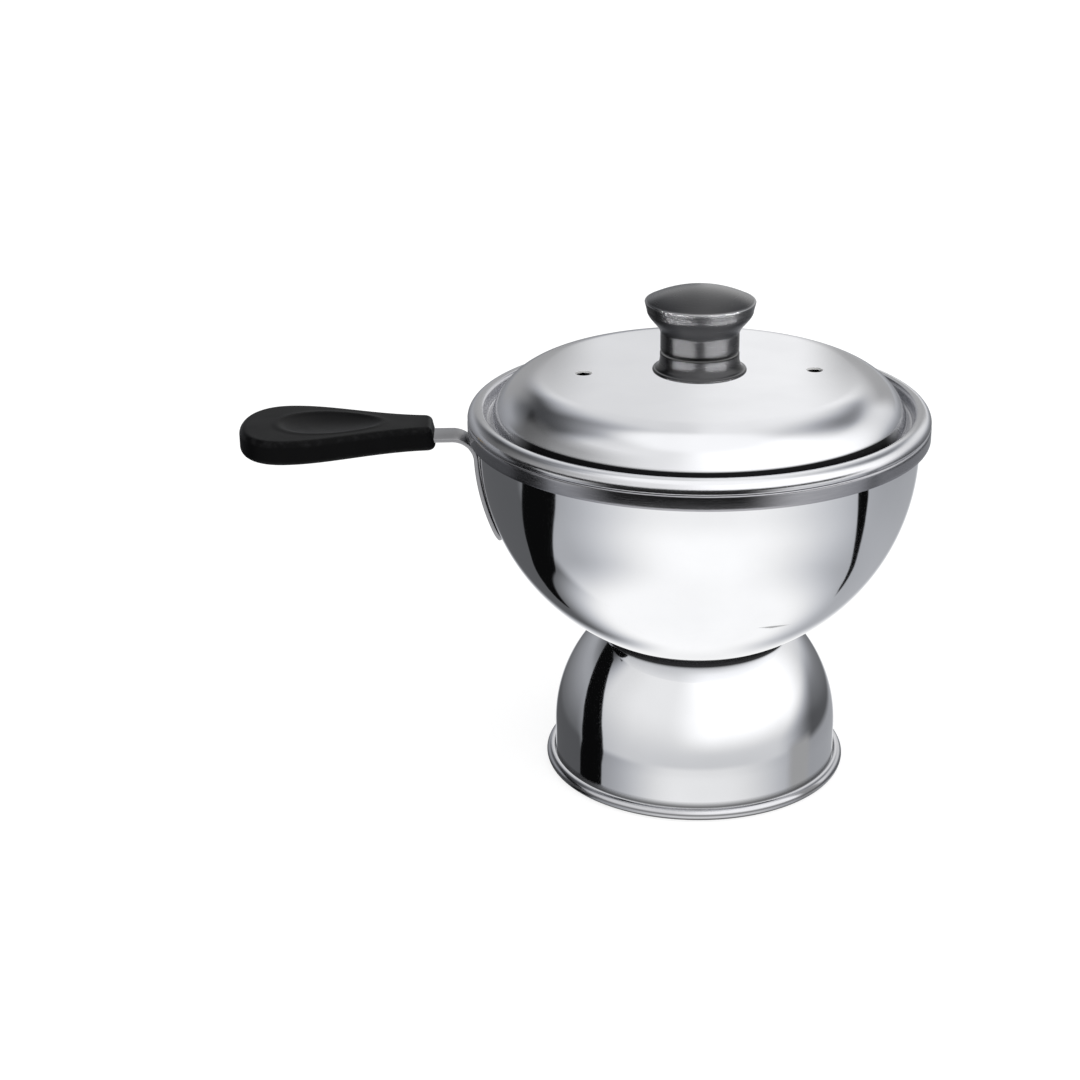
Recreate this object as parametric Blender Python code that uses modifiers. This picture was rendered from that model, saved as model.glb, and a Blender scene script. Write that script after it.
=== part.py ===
"""Puttu maker: a lidded steaming bowl on an upturned cup, with a strap handle and a loose steam plate.

The bowl and the cup under it are two pressed sheets, welded floor to floor over a common steam hole. The
lid is a third pressed sheet, whose groove drops inside the mouth. Lengths are in metres, +Z is up, the
ground is z = 0, and the handle points along -X. The origin is the bottom centre of the whole object, so
the axis of the turned pieces stands at x = AXIS_X.
"""

import math

import bmesh
import bpy

# Sizes shared by the whole object
CLEARANCE = 0.0003            # gap between pieces that touch
SHELL_STEPS = 36              # facets round the pressed shells
KNOB_STEPS = 32               # facets round the knob
SMALL_STEPS = 20              # facets round screws, inserts and washers
MERGE = 0.000001

# Base cup, an upturned cup with a rolled foot
BASE_SHEET = 0.00075
BASE_R = 0.0443               # outer radius of the wall and of the dome above it
BASE_DOME_Z = 0.0125          # height at which the straight wall turns into the dome
BASE_TOP_Z = 0.0452
BASE_CORNER_R = 0.002
FOOT_CURL_R = 0.0018          # outer radius of the rolled foot's tube
FOOT_CURL_STEP = 36.0         # degrees for each facet of the curl, so that one facet lies flat on the ground
FOOT_CURL_FACETS = 8
STEAM_HOLE_R = 0.008

# Bowl, a ball cut off by its floor and by the rim above its middle
BOWL_SHEET = 0.0008
BOWL_R = 0.0668               # outer radius of the round bowl
BOWL_FLOOR_R = 0.02957        # radius at which the ball would meet the floor
BOWL_FLOOR_CORNER_R = 0.003
BOWL_FLOOR_Z = BASE_TOP_Z + CLEARANCE
BOWL_CENTRE_Z = BOWL_FLOOR_Z + math.sqrt(BOWL_R ** 2 - BOWL_FLOOR_R ** 2)
RIM_RISE = 0.0085             # height of the rim's top above the ball's centre
RIM_REACH = 0.0032            # how far the rim stands out from the ball
RIM_BAND_HEIGHT = 0.0044
RIM_BEND_R = 0.0002           # inner radius of the rim's bends
RIM_R = BOWL_R + RIM_REACH
RIM_TOP_Z = BOWL_CENTRE_Z + RIM_RISE
BAND_BOTTOM_Z = RIM_TOP_Z - RIM_BAND_HEIGHT

# Steam plate, a perforated disc with a rim that follows the bowl's wall
PLATE_SHEET = 0.0007
PLATE_STAND = 0.0057          # height of the plate's underside above the bowl's floor
PLATE_RIM_WIDTH = 0.0032
PLATE_HOLE_R = 0.0014
PLATE_CENTRE_HOLE_R = 0.003
PLATE_RINGS = ((0.0095, 6), (0.0175, 12), (0.0255, 16))   # radius and number of holes of each ring
PLATE_Z = BOWL_FLOOR_Z + BOWL_SHEET + PLATE_STAND

# Lid; heights are above the rim's top
LID_SHEET = 0.0007
LID_RISE = 0.0138             # height of the crown
CROWN_R = 6.0                 # the crown is almost flat
KNUCKLE_R = 0.0168
DOME_INSET = 0.0036           # from the bowl's outer face in to where the knuckle would stand upright
GROOVE_R = 0.0009             # radius of the groove's bottom on the upper face
GROOVE_DROP = 0.0004          # depth of the groove below the rim's top
CREST_RISE = 0.0038           # height of the brim's highest ring
CREST_BEND_R = 0.0015
BRIM_R = 0.0037
VENT_R = 0.0025
VENT_PITCH_R = 0.0348
LID_HOLE_R = 0.0024
LID_APEX_Z = RIM_TOP_Z + LID_RISE
DOME_R = BOWL_R - DOME_INSET
CREST_R = RIM_R - BRIM_R
CREST_Z = RIM_TOP_Z + CREST_RISE

# Knob, its collar and what holds them; heights are above the collar's foot
COLLAR_FOOT_R = 0.0142
COLLAR_FOOT_HEIGHT = 0.001
COLLAR_FLARE_TOP = 0.0046
COLLAR_NECK_R = 0.01195
COLLAR_HEIGHT = 0.0059
KNOB_GROOVE_R = 0.0114
KNOB_GROOVE_HEIGHT = 0.0005
KNOB_NECK_R = 0.01186
KNOB_NECK_TOP = 0.0118
KNOB_SHOULDER_R = 0.016
KNOB_SHOULDER_TOP = 0.019
KNOB_EDGE_R = 0.0166
KNOB_EDGE_TOP = 0.0216
KNOB_HEIGHT = 0.0257
KNOB_INSERT_R = 0.004
KNOB_INSERT_BORE_R = 0.0023
KNOB_INSERT_LENGTH = 0.011
KNOB_SCREW_R = 0.002
KNOB_SCREW_HEAD_R = 0.004
KNOB_SCREW_HEAD_HEIGHT = 0.002
KNOB_SCREW_REACH = 0.0145     # how far the screw's tip stands above the collar's foot
WASHER_R = 0.0055
WASHER_BORE_R = 0.0024
WASHER_SHEET = 0.0008

# Handle strap
STRAP_WIDTH = 0.0106
STRAP_SHEET = 0.0012
STRAP_BEND_R = 0.007
STRAP_LEG_ANGLE = 27.0        # degrees below the bowl's centre at which the strap ends
STRAP_TANG = 0.0315           # length of the strap inside the grip

# Grip; lengths along it are from its near end
GRIP_GAP = 0.0105             # from the rim to the grip's near end
GRIP_LENGTH = 0.0578
GRIP_WIDE_REACH = 0.0435      # where the grip is widest
GRIP_NEAR_HALF_WIDTH = 0.0074
GRIP_WIDE_HALF_WIDTH = 0.0184
GRIP_TAPER_LENGTH = 0.0185    # reach of the outline's handles, which set how the sides swell
GRIP_TAPER_SPREAD = 0.0017
GRIP_WIDE_LENGTH = 0.0130
GRIP_END_FULLNESS = 0.62      # share of the rounded end that its handles reach
GRIP_DROP = 0.0007            # from the rim's top down to the grip's upper face
GRIP_THICKNESS = 0.0074
GRIP_EDGE_R = 0.0019
GRIP_LIP = 0.0009             # how far the near end's lower edge stands out
RECESS_REACH = 0.0307         # the recess's middle
RECESS_HALF_LENGTH = 0.0150
RECESS_HALF_WIDTH = 0.0096
RECESS_DEPTH = 0.0014
RECESS_POINT = 0.22           # how much the recess narrows towards the bowl
GRIP_SCREW_REACH = 0.0095
GRIP_SCREW_R = 0.0015
GRIP_SCREW_HEAD_R = 0.0029
GRIP_SCREW_HEAD_HEIGHT = 0.0013
GRIP_INSERT_R = 0.0028
GRIP_INSERT_BORE_R = 0.0018
GRIP_INSERT_LENGTH = 0.0026

# Places along X, measured from the bowl's axis
GRIP_NEAR_X = -(RIM_R + GRIP_GAP)
GRIP_FAR_X = GRIP_NEAR_X - GRIP_LENGTH
GRIP_WIDE_X = GRIP_NEAR_X - GRIP_WIDE_REACH
RECESS_X = GRIP_NEAR_X - RECESS_REACH
GRIP_SCREW_X = GRIP_NEAR_X - GRIP_SCREW_REACH
GRIP_TOP_Z = RIM_TOP_Z - GRIP_DROP

# The object's length runs from the grip's far end to the rim's opposite side
AXIS_X = (-GRIP_FAR_X - RIM_R) / 2.0
KNOB_FOOT_Z = LID_APEX_Z + CLEARANCE


def clear_scene():
    """Removes whatever the scene holds."""
    for item in list(bpy.data.objects):
        bpy.data.objects.remove(item, do_unlink=True)


def make_collection(name):
    """Adds a collection to the scene and returns it."""
    collection = bpy.data.collections.new(name)
    bpy.context.scene.collection.children.link(collection)
    return collection


def make_material(name, colour, metallic, roughness):
    """A Principled BSDF material."""
    material = bpy.data.materials.new(name)
    material.use_nodes = True
    shader = material.node_tree.nodes["Principled BSDF"]
    shader.inputs["Base Color"].default_value = (*colour, 1.0)
    shader.inputs["Metallic"].default_value = metallic
    shader.inputs["Roughness"].default_value = roughness
    material.diffuse_color = (*colour, 1.0)
    return material


def arc(centre_r, centre_z, radius, start, end, segments):
    """Points (radius, height) of an arc in the profile's plane, angles in degrees from +r towards +z."""
    points = []
    for index in range(segments + 1):
        angle = math.radians(start + (end - start) * index / segments)
        points.append((centre_r + radius * math.cos(angle), centre_z + radius * math.sin(angle)))
    return points


def smooth_step(start, end, segments):
    """Points of an S-shaped run between two (radius, height) points, upright at its start."""
    points = []
    for index in range(1, segments + 1):
        share = index / segments
        eased = share * share * (3.0 - 2.0 * share)
        points.append((start[0] + (end[0] - start[0]) * eased, start[1] + (end[1] - start[1]) * share))
    return points


def place(name, mesh, collection, parent, material=None):
    """Makes an object of a mesh and puts it on its parent."""
    item = bpy.data.objects.new(name, mesh)
    collection.objects.link(item)
    item.parent = parent
    if material is not None:
        mesh.materials.append(material)
    return item


def as_cutter(item):
    """Marks an object as a guide that only cuts others."""
    item.hide_render = True
    item.display_type = "WIRE"
    return item


def turned(name, profile, closed, steps, collection, parent, material=None):
    """A profile of (radius, height) points turned round its parent's Z axis with a Screw modifier."""
    mesh = bpy.data.meshes.new(name)
    vertices = [(radius, 0.0, height) for radius, height in profile]
    edges = [(index, index + 1) for index in range(len(profile) - 1)]
    if closed:
        edges.append((len(profile) - 1, 0))
    mesh.from_pydata(vertices, edges, [])
    item = place(name, mesh, collection, parent, material)
    screw = item.modifiers.new("turn", "SCREW")
    screw.axis = "Z"
    screw.angle = math.tau
    screw.steps = steps
    screw.render_steps = steps
    screw.use_merge_vertices = True
    screw.merge_threshold = MERGE
    screw.use_smooth_shade = True
    return item


def pressed(name, profile, sheet, collection, parent, material):
    """A turned open profile that Solidify makes a pressed sheet, away from the profile's outer side."""
    item = turned(name, profile, False, SHELL_STEPS, collection, parent, material)
    wall = item.modifiers.new("sheet", "SOLIDIFY")
    wall.thickness = sheet
    wall.offset = -1.0
    wall.use_even_offset = True
    wall.use_rim = True
    return item


def cylinder_mesh(name, radius, bottom, top, centre_x=0.0, centre_y=0.0, sides=16):
    """An upright cylinder between two heights."""
    mesh = bpy.data.meshes.new(name)
    shape = bmesh.new()
    bmesh.ops.create_cone(
        shape,
        cap_ends=True,
        segments=sides,
        radius1=radius,
        radius2=radius,
        depth=top - bottom,
    )
    bmesh.ops.translate(shape, verts=shape.verts, vec=(centre_x, centre_y, (top + bottom) / 2.0))
    shape.to_mesh(mesh)
    shape.free()
    return mesh


def box_mesh(name, low, high):
    """A box between two corners."""
    mesh = bpy.data.meshes.new(name)
    shape = bmesh.new()
    bmesh.ops.create_cube(shape, size=1.0)
    size = [high[axis] - low[axis] for axis in range(3)]
    middle = [(high[axis] + low[axis]) / 2.0 for axis in range(3)]
    bmesh.ops.scale(shape, verts=shape.verts, vec=size)
    bmesh.ops.translate(shape, verts=shape.verts, vec=middle)
    shape.to_mesh(mesh)
    shape.free()
    return mesh


def cut(item, cutter):
    """Cuts one object with another."""
    modifier = item.modifiers.new("cut " + cutter.name, "BOOLEAN")
    modifier.operation = "DIFFERENCE"
    modifier.solver = "EXACT"
    modifier.object = cutter


def base_profile():
    """Outer face of the base cup, from the steam hole over the dome and down into the rolled foot."""
    corner_z = BASE_TOP_Z - BASE_CORNER_R
    reach = BASE_R - BASE_CORNER_R
    corner_r = math.sqrt(reach ** 2 - (corner_z - BASE_DOME_Z) ** 2)
    turn = math.degrees(math.atan2(corner_z - BASE_DOME_Z, corner_r))
    inner = FOOT_CURL_R - BASE_SHEET
    curl_z = inner * math.cos(math.radians(FOOT_CURL_STEP / 2.0)) + BASE_SHEET
    curl_end = 180.0 + FOOT_CURL_STEP * FOOT_CURL_FACETS
    profile = [(STEAM_HOLE_R, BASE_TOP_Z)]
    profile += arc(corner_r, corner_z, BASE_CORNER_R, 90.0, turn, 2)
    profile += arc(0.0, BASE_DOME_Z, BASE_R, turn, 0.0, 7)[1:]
    profile += arc(BASE_R + inner, curl_z, inner, 180.0, curl_end, FOOT_CURL_FACETS)
    return profile


def bowl_profile():
    """Outer face of the bowl, from inside the rim's band, over the bends and down the wall to the hole."""
    band_r = RIM_R - BOWL_SHEET
    under = RIM_TOP_Z - BOWL_SHEET
    corner_z = BOWL_FLOOR_Z + BOWL_FLOOR_CORNER_R
    reach = BOWL_R - BOWL_FLOOR_CORNER_R
    corner_r = math.sqrt(reach ** 2 - (BOWL_CENTRE_Z - corner_z) ** 2)
    turn = -math.degrees(math.atan2(BOWL_CENTRE_Z - corner_z, corner_r))
    profile = [(band_r, BAND_BOTTOM_Z)]
    profile += arc(band_r - RIM_BEND_R, under - RIM_BEND_R, RIM_BEND_R, 0.0, 90.0, 2)
    profile += arc(BOWL_R + RIM_BEND_R, under - RIM_BEND_R, RIM_BEND_R, 90.0, 180.0, 2)
    profile += arc(0.0, BOWL_CENTRE_Z, BOWL_R, 0.0, turn, 11)
    profile += arc(corner_r, corner_z, BOWL_FLOOR_CORNER_R, turn, -90.0, 2)[1:]
    profile.append((STEAM_HOLE_R, BOWL_FLOOR_Z))
    return profile


def lid_profile():
    """Upper face of the lid: crown, knuckle, groove, crest and brim."""
    knuckle_r = DOME_R - KNUCKLE_R
    crown_z = LID_APEX_Z - CROWN_R
    rise = math.sqrt((CROWN_R - KNUCKLE_R) ** 2 - knuckle_r ** 2)
    knuckle_z = crown_z + rise
    turn = math.degrees(math.atan2(rise, knuckle_r))
    hole = math.degrees(math.acos(LID_HOLE_R / CROWN_R))
    groove_z = RIM_TOP_Z - GROOVE_DROP + GROOVE_R
    foot = math.degrees(math.asin((groove_z - knuckle_z) / KNUCKLE_R))
    groove_r = knuckle_r + KNUCKLE_R * math.cos(math.radians(foot)) + GROOVE_R
    crest_left = CREST_Z - CREST_BEND_R
    brim_z = CREST_Z - BRIM_R
    profile = arc(0.0, crown_z, CROWN_R, hole, turn, 3)
    profile += arc(knuckle_r, knuckle_z, KNUCKLE_R, turn, foot, 6)[1:]
    profile += arc(groove_r, groove_z, GROOVE_R, 180.0, 360.0, 4)[1:]
    profile += arc(CREST_R, crest_left, CREST_BEND_R, 170.0, 90.0, 2)
    profile += arc(CREST_R, brim_z, BRIM_R, 90.0, 20.0, 4)[1:]
    profile.append((profile[-1][0], RIM_TOP_Z + CLEARANCE))
    return profile


def plate_profile():
    """Underside and upper face of the steam plate, whose rim follows the bowl's wall."""
    wall = BOWL_R - BOWL_SHEET - CLEARANCE
    flat_r = math.sqrt(wall ** 2 - (BOWL_CENTRE_Z - PLATE_Z) ** 2)
    rim_r = flat_r + PLATE_RIM_WIDTH
    rim_z = BOWL_CENTRE_Z - math.sqrt(wall ** 2 - rim_r ** 2)
    slope = math.atan2(rim_z - PLATE_Z, PLATE_RIM_WIDTH)
    inner_r = flat_r - PLATE_SHEET * math.tan(slope / 2.0)
    return [
        (PLATE_CENTRE_HOLE_R, PLATE_Z + PLATE_SHEET),
        (inner_r, PLATE_Z + PLATE_SHEET),
        (rim_r - PLATE_SHEET * math.sin(slope), rim_z + PLATE_SHEET * math.cos(slope)),
        (rim_r, rim_z),
        (flat_r, PLATE_Z),
        (PLATE_CENTRE_HOLE_R, PLATE_Z),
    ]


def collar_profile():
    """Closed section of the knob's flared collar."""
    foot = KNOB_FOOT_Z
    flare_width = COLLAR_FOOT_R - COLLAR_NECK_R
    flare_height = COLLAR_FLARE_TOP - COLLAR_FOOT_HEIGHT
    profile = [(LID_HOLE_R, foot + COLLAR_HEIGHT), (COLLAR_NECK_R, foot + COLLAR_HEIGHT)]
    for across, down in arc(1.0, 0.0, 1.0, 180.0, 270.0, 5):
        profile.append((COLLAR_NECK_R + flare_width * across, foot + COLLAR_FLARE_TOP + flare_height * down))
    profile += [(COLLAR_FOOT_R, foot), (LID_HOLE_R, foot)]
    return profile


def knob_profile():
    """Closed section of the knob, with the pocket for its insert."""
    foot = KNOB_FOOT_Z
    bottom = foot + COLLAR_HEIGHT + CLEARANCE
    groove_top = bottom + KNOB_GROOVE_HEIGHT
    pocket_r = KNOB_INSERT_R + CLEARANCE
    pocket_top = bottom + KNOB_INSERT_LENGTH + CLEARANCE
    rise = KNOB_HEIGHT - KNOB_EDGE_TOP
    crown_r = (KNOB_EDGE_R ** 2 + rise ** 2) / (2.0 * rise)
    edge = math.degrees(math.asin(KNOB_EDGE_R / crown_r))
    upper = [(0.0, foot + KNOB_HEIGHT)]
    upper += arc(0.0, foot + KNOB_HEIGHT - crown_r, crown_r, 90.0, 90.0 - edge, 4)[1:]
    sides = [(KNOB_NECK_R, foot + KNOB_NECK_TOP)]
    sides += smooth_step((KNOB_NECK_R, foot + KNOB_NECK_TOP), (KNOB_SHOULDER_R, foot + KNOB_SHOULDER_TOP), 6)
    lower = [
        (KNOB_NECK_R, groove_top),
        (KNOB_GROOVE_R, groove_top),
        (KNOB_GROOVE_R, bottom),
        (pocket_r, bottom),
        (pocket_r, pocket_top),
        (0.0, pocket_top),
    ]
    return upper + sides[::-1] + lower


def knob_insert_profile():
    """Closed section of the knob's brass insert."""
    bottom = KNOB_FOOT_Z + COLLAR_HEIGHT + CLEARANCE
    top = bottom + KNOB_INSERT_LENGTH
    return [
        (KNOB_INSERT_BORE_R, top),
        (KNOB_INSERT_R, top),
        (KNOB_INSERT_R, bottom),
        (KNOB_INSERT_BORE_R, bottom),
    ]


def washer_profile():
    """Closed section of the washer under the lid's crown."""
    top = LID_APEX_Z - LID_SHEET - CLEARANCE
    bottom = top - WASHER_SHEET
    return [(WASHER_BORE_R, top), (WASHER_R, top), (WASHER_R, bottom), (WASHER_BORE_R, bottom)]


def knob_screw_profile():
    """Half section of the knob's screw, its head inside the lid."""
    seat = LID_APEX_Z - LID_SHEET - WASHER_SHEET - 2.0 * CLEARANCE
    tip = KNOB_FOOT_Z + KNOB_SCREW_REACH
    chamfer = KNOB_SCREW_R / 4.0
    return [
        (0.0, tip),
        (KNOB_SCREW_R - chamfer, tip),
        (KNOB_SCREW_R, tip - chamfer),
        (KNOB_SCREW_R, seat),
        (KNOB_SCREW_HEAD_R, seat),
        (KNOB_SCREW_HEAD_R, seat - KNOB_SCREW_HEAD_HEIGHT * 0.6),
        (KNOB_SCREW_HEAD_R * 0.7, seat - KNOB_SCREW_HEAD_HEIGHT),
        (0.0, seat - KNOB_SCREW_HEAD_HEIGHT),
    ]


def strap_path():
    """Stations (x, z, half width) of the strap's middle surface, from inside the grip to its lower end."""
    middle_z = BAND_BOTTOM_Z - CLEARANCE - STRAP_SHEET / 2.0
    leg_r = BOWL_R + CLEARANCE + STRAP_SHEET / 2.0
    drop = BOWL_CENTRE_Z - (middle_z - STRAP_BEND_R)
    bend_x = math.sqrt((leg_r + STRAP_BEND_R) ** 2 - drop ** 2)
    turn = math.degrees(math.asin(drop / (leg_r + STRAP_BEND_R)))
    half = STRAP_WIDTH / 2.0
    stations = [(GRIP_NEAR_X - STRAP_TANG, middle_z, half)]
    for radius, height in arc(bend_x, middle_z - STRAP_BEND_R, STRAP_BEND_R, 90.0, 180.0 - turn, 7):
        stations.append((-radius, height, half))
    round_start = STRAP_LEG_ANGLE - math.degrees(half / leg_r)
    for radius, height in arc(0.0, BOWL_CENTRE_Z, leg_r, -turn, -round_start, 5)[1:]:
        stations.append((-radius, height, half))
    for share in (30.0, 52.0, 70.0, 84.0):
        angle = -round_start - math.degrees(half * math.sin(math.radians(share)) / leg_r)
        radius, height = arc(0.0, BOWL_CENTRE_Z, leg_r, angle, angle, 1)[0]
        stations.append((-radius, height, half * math.cos(math.radians(share))))
    return stations


def build_strap(collection, cutters, parent, material):
    """The handle's strap: a strip along its path, given its thickness, with the screw's hole in its tang."""
    mesh = bpy.data.meshes.new("handle_strap")
    strip = bmesh.new()
    previous = None
    for x, z, half in strap_path():
        pair = (strip.verts.new((x, -half, z)), strip.verts.new((x, half, z)))
        if previous is not None:
            strip.faces.new((previous[0], pair[0], pair[1], previous[1]))
        previous = pair
    bmesh.ops.recalc_face_normals(strip, faces=strip.faces)
    strip.to_mesh(mesh)
    strip.free()
    item = place("handle_strap", mesh, collection, parent, material)
    wall = item.modifiers.new("sheet", "SOLIDIFY")
    wall.thickness = STRAP_SHEET
    wall.offset = 0.0
    wall.use_even_offset = True
    hole = cylinder_mesh(
        "strap_hole",
        GRIP_SCREW_R + CLEARANCE,
        GRIP_TOP_Z - GRIP_THICKNESS,
        GRIP_TOP_Z,
        GRIP_SCREW_X,
        0.0,
        SMALL_STEPS,
    )
    cut(item, as_cutter(place("strap_hole", hole, cutters, parent)))
    return item


def grip_outline():
    """Bezier points of the grip's outline: (x, y), left handle, right handle, for one half and its mirror."""
    end_reach = GRIP_END_FULLNESS * (GRIP_WIDE_X - GRIP_FAR_X)
    end_width = GRIP_END_FULLNESS * GRIP_WIDE_HALF_WIDTH
    half = [
        (
            (GRIP_NEAR_X, -GRIP_NEAR_HALF_WIDTH),
            (GRIP_NEAR_X, 0.0),
            (GRIP_NEAR_X - GRIP_TAPER_LENGTH, -GRIP_NEAR_HALF_WIDTH - GRIP_TAPER_SPREAD),
        ),
        (
            (GRIP_WIDE_X, -GRIP_WIDE_HALF_WIDTH),
            (GRIP_WIDE_X + GRIP_WIDE_LENGTH, -GRIP_WIDE_HALF_WIDTH),
            (GRIP_WIDE_X - end_reach, -GRIP_WIDE_HALF_WIDTH),
        ),
        ((GRIP_FAR_X, 0.0), (GRIP_FAR_X, -end_width), (GRIP_FAR_X, end_width)),
    ]
    mirrored = []
    for point, before, after in half[1::-1]:
        mirrored.append(((point[0], -point[1]), (after[0], -after[1]), (before[0], -before[1])))
    return half + mirrored


def build_grip(collection, cutters, parent, screw_axis, material):
    """The grip: its outline extruded and rounded, with recess, slot for the strap and screw holes."""
    curve = bpy.data.curves.new("grip_outline", "CURVE")
    curve.dimensions = "2D"
    curve.fill_mode = "BOTH"
    curve.extrude = GRIP_THICKNESS / 2.0
    curve.resolution_u = 9
    spline = curve.splines.new("BEZIER")
    outline = grip_outline()
    spline.bezier_points.add(len(outline) - 1)
    spline.use_cyclic_u = True
    for target, (point, before, after) in zip(spline.bezier_points, outline):
        target.handle_left_type = "FREE"
        target.handle_right_type = "FREE"
        target.co = (*point, 0.0)
        target.handle_left = (*before, 0.0)
        target.handle_right = (*after, 0.0)
    outline_object = bpy.data.objects.new("grip_outline", curve)
    cutters.objects.link(outline_object)
    view = bpy.context.evaluated_depsgraph_get()
    mesh = bpy.data.meshes.new_from_object(outline_object.evaluated_get(view))
    bpy.data.objects.remove(outline_object, do_unlink=True)
    mesh.name = "handle_grip"
    solid = bmesh.new()
    solid.from_mesh(mesh)
    bmesh.ops.remove_doubles(solid, verts=solid.verts, dist=MERGE)
    for vertex in solid.verts:
        if vertex.co.z < 0.0 and vertex.co.x > GRIP_NEAR_X - MERGE:
            vertex.co.x += GRIP_LIP
    bmesh.ops.translate(solid, verts=solid.verts, vec=(0.0, 0.0, GRIP_TOP_Z - GRIP_THICKNESS / 2.0))
    bmesh.ops.dissolve_limit(solid, angle_limit=math.radians(1.0), verts=solid.verts, edges=solid.edges)
    bmesh.ops.recalc_face_normals(solid, faces=solid.faces)
    solid.to_mesh(mesh)
    solid.free()
    item = place("handle_grip", mesh, collection, parent, material)
    edge = item.modifiers.new("edges", "BEVEL")
    edge.width = GRIP_EDGE_R
    edge.segments = 3
    edge.limit_method = "ANGLE"
    edge.angle_limit = math.radians(50.0)
    cut(item, recess_cutter(cutters, parent))
    cut(item, slot_cutter(cutters, parent))
    cut(item, grip_screw_cutter(cutters, screw_axis))
    cut(item, grip_pocket_cutter(cutters, parent))
    return item


def recess_cutter(cutters, parent):
    """A flattened ball that leaves the thumb's shallow hollow, narrower towards the bowl."""
    above = 0.6                                  # the ball's centre above the face, as a share of its height
    spread = 1.0 / math.sqrt(1.0 - above ** 2)
    half_height = RECESS_DEPTH / (1.0 - above)
    mesh = bpy.data.meshes.new("grip_recess")
    ball = bmesh.new()
    bmesh.ops.create_uvsphere(ball, u_segments=24, v_segments=14, radius=1.0)
    size = (RECESS_HALF_LENGTH * spread, RECESS_HALF_WIDTH * spread, half_height)
    bmesh.ops.scale(ball, verts=ball.verts, vec=size)
    for vertex in ball.verts:
        vertex.co.y *= 1.0 - RECESS_POINT * vertex.co.x / RECESS_HALF_LENGTH
    bmesh.ops.translate(ball, verts=ball.verts, vec=(RECESS_X, 0.0, GRIP_TOP_Z + above * half_height))
    ball.to_mesh(mesh)
    ball.free()
    return as_cutter(place("grip_recess", mesh, cutters, parent))


def slot_cutter(cutters, parent):
    """The slot that takes the strap's tang."""
    top = BAND_BOTTOM_Z
    bottom = top - STRAP_SHEET - 2.0 * CLEARANCE
    half = STRAP_WIDTH / 2.0 + CLEARANCE
    far = GRIP_NEAR_X - STRAP_TANG - CLEARANCE
    near = GRIP_NEAR_X + 4.0 * GRIP_LIP
    mesh = box_mesh("grip_slot", (far, -half, bottom), (near, half, top))
    return as_cutter(place("grip_slot", mesh, cutters, parent))


def make_axis(name, x, collection, parent=None):
    """An empty that stands on a turning axis."""
    empty = bpy.data.objects.new(name, None)
    collection.objects.link(empty)
    empty.parent = parent
    empty.location = (x, 0.0, 0.0)
    return empty


def grip_screw_cutter(cutters, axis):
    """The countersunk hole in the grip's underside."""
    bottom = GRIP_TOP_Z - GRIP_THICKNESS
    top = BAND_BOTTOM_Z - STRAP_SHEET / 2.0
    head = GRIP_SCREW_HEAD_R + CLEARANCE
    shank = GRIP_SCREW_R + CLEARANCE
    profile = [
        (0.0, top),
        (shank, top),
        (shank, bottom + GRIP_SCREW_HEAD_HEIGHT),
        (head, bottom),
        (head, bottom - head),
        (0.0, bottom - head),
    ]
    return as_cutter(turned("grip_screw_hole", profile, False, SMALL_STEPS, cutters, axis))


def grip_pocket_cutter(cutters, parent):
    """The pocket above the slot, in which the grip's insert sits."""
    bottom = BAND_BOTTOM_Z - STRAP_SHEET / 2.0
    top = BAND_BOTTOM_Z + GRIP_INSERT_LENGTH + CLEARANCE
    mesh = cylinder_mesh(
        "grip_pocket",
        GRIP_INSERT_R + CLEARANCE,
        bottom,
        top,
        GRIP_SCREW_X,
        0.0,
        SMALL_STEPS,
    )
    return as_cutter(place("grip_pocket", mesh, cutters, parent))


def grip_insert_profile():
    """Closed section of the grip's brass insert, which stands on the strap."""
    bottom = BAND_BOTTOM_Z
    top = bottom + GRIP_INSERT_LENGTH
    return [
        (GRIP_INSERT_BORE_R, top),
        (GRIP_INSERT_R, top),
        (GRIP_INSERT_R, bottom),
        (GRIP_INSERT_BORE_R, bottom),
    ]


def grip_screw_profile():
    """Half section of the grip's countersunk screw."""
    bottom = GRIP_TOP_Z - GRIP_THICKNESS
    tip = BAND_BOTTOM_Z + GRIP_INSERT_LENGTH - CLEARANCE
    return [
        (0.0, tip),
        (GRIP_SCREW_R, tip),
        (GRIP_SCREW_R, bottom + GRIP_SCREW_HEAD_HEIGHT),
        (GRIP_SCREW_HEAD_R, bottom),
        (0.0, bottom),
    ]


def build_plate(collection, cutters, parent, material):
    """The perforated steam plate."""
    item = turned("steam_plate", plate_profile(), True, SHELL_STEPS, collection, parent, material)
    drill = bmesh.new()
    for ring_r, count in PLATE_RINGS:
        for index in range(count):
            angle = math.tau * index / count
            added = bmesh.ops.create_cone(
                drill,
                cap_ends=True,
                segments=8,
                radius1=PLATE_HOLE_R,
                radius2=PLATE_HOLE_R,
                depth=8.0 * PLATE_SHEET,
            )
            centre = (ring_r * math.cos(angle), ring_r * math.sin(angle), PLATE_Z + PLATE_SHEET / 2.0)
            bmesh.ops.translate(drill, verts=added["verts"], vec=centre)
    mesh = bpy.data.meshes.new("plate_drill")
    drill.to_mesh(mesh)
    drill.free()
    cut(item, as_cutter(place("plate_drill", mesh, cutters, parent)))
    return item


def build_lid(collection, cutters, parent, material):
    """The lid's pressed shell with its two vents on the handle's line."""
    item = pressed("lid_shell", lid_profile(), LID_SHEET, collection, parent, material)
    for name, side in (("vent_near_handle", -1.0), ("vent_away", 1.0)):
        mesh = cylinder_mesh(
            name,
            VENT_R,
            LID_APEX_Z - 6.0 * LID_SHEET,
            LID_APEX_Z + 3.0 * LID_SHEET,
            side * VENT_PITCH_R,
            0.0,
            SMALL_STEPS,
        )
        cut(item, as_cutter(place(name, mesh, cutters, parent)))
    return item


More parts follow.
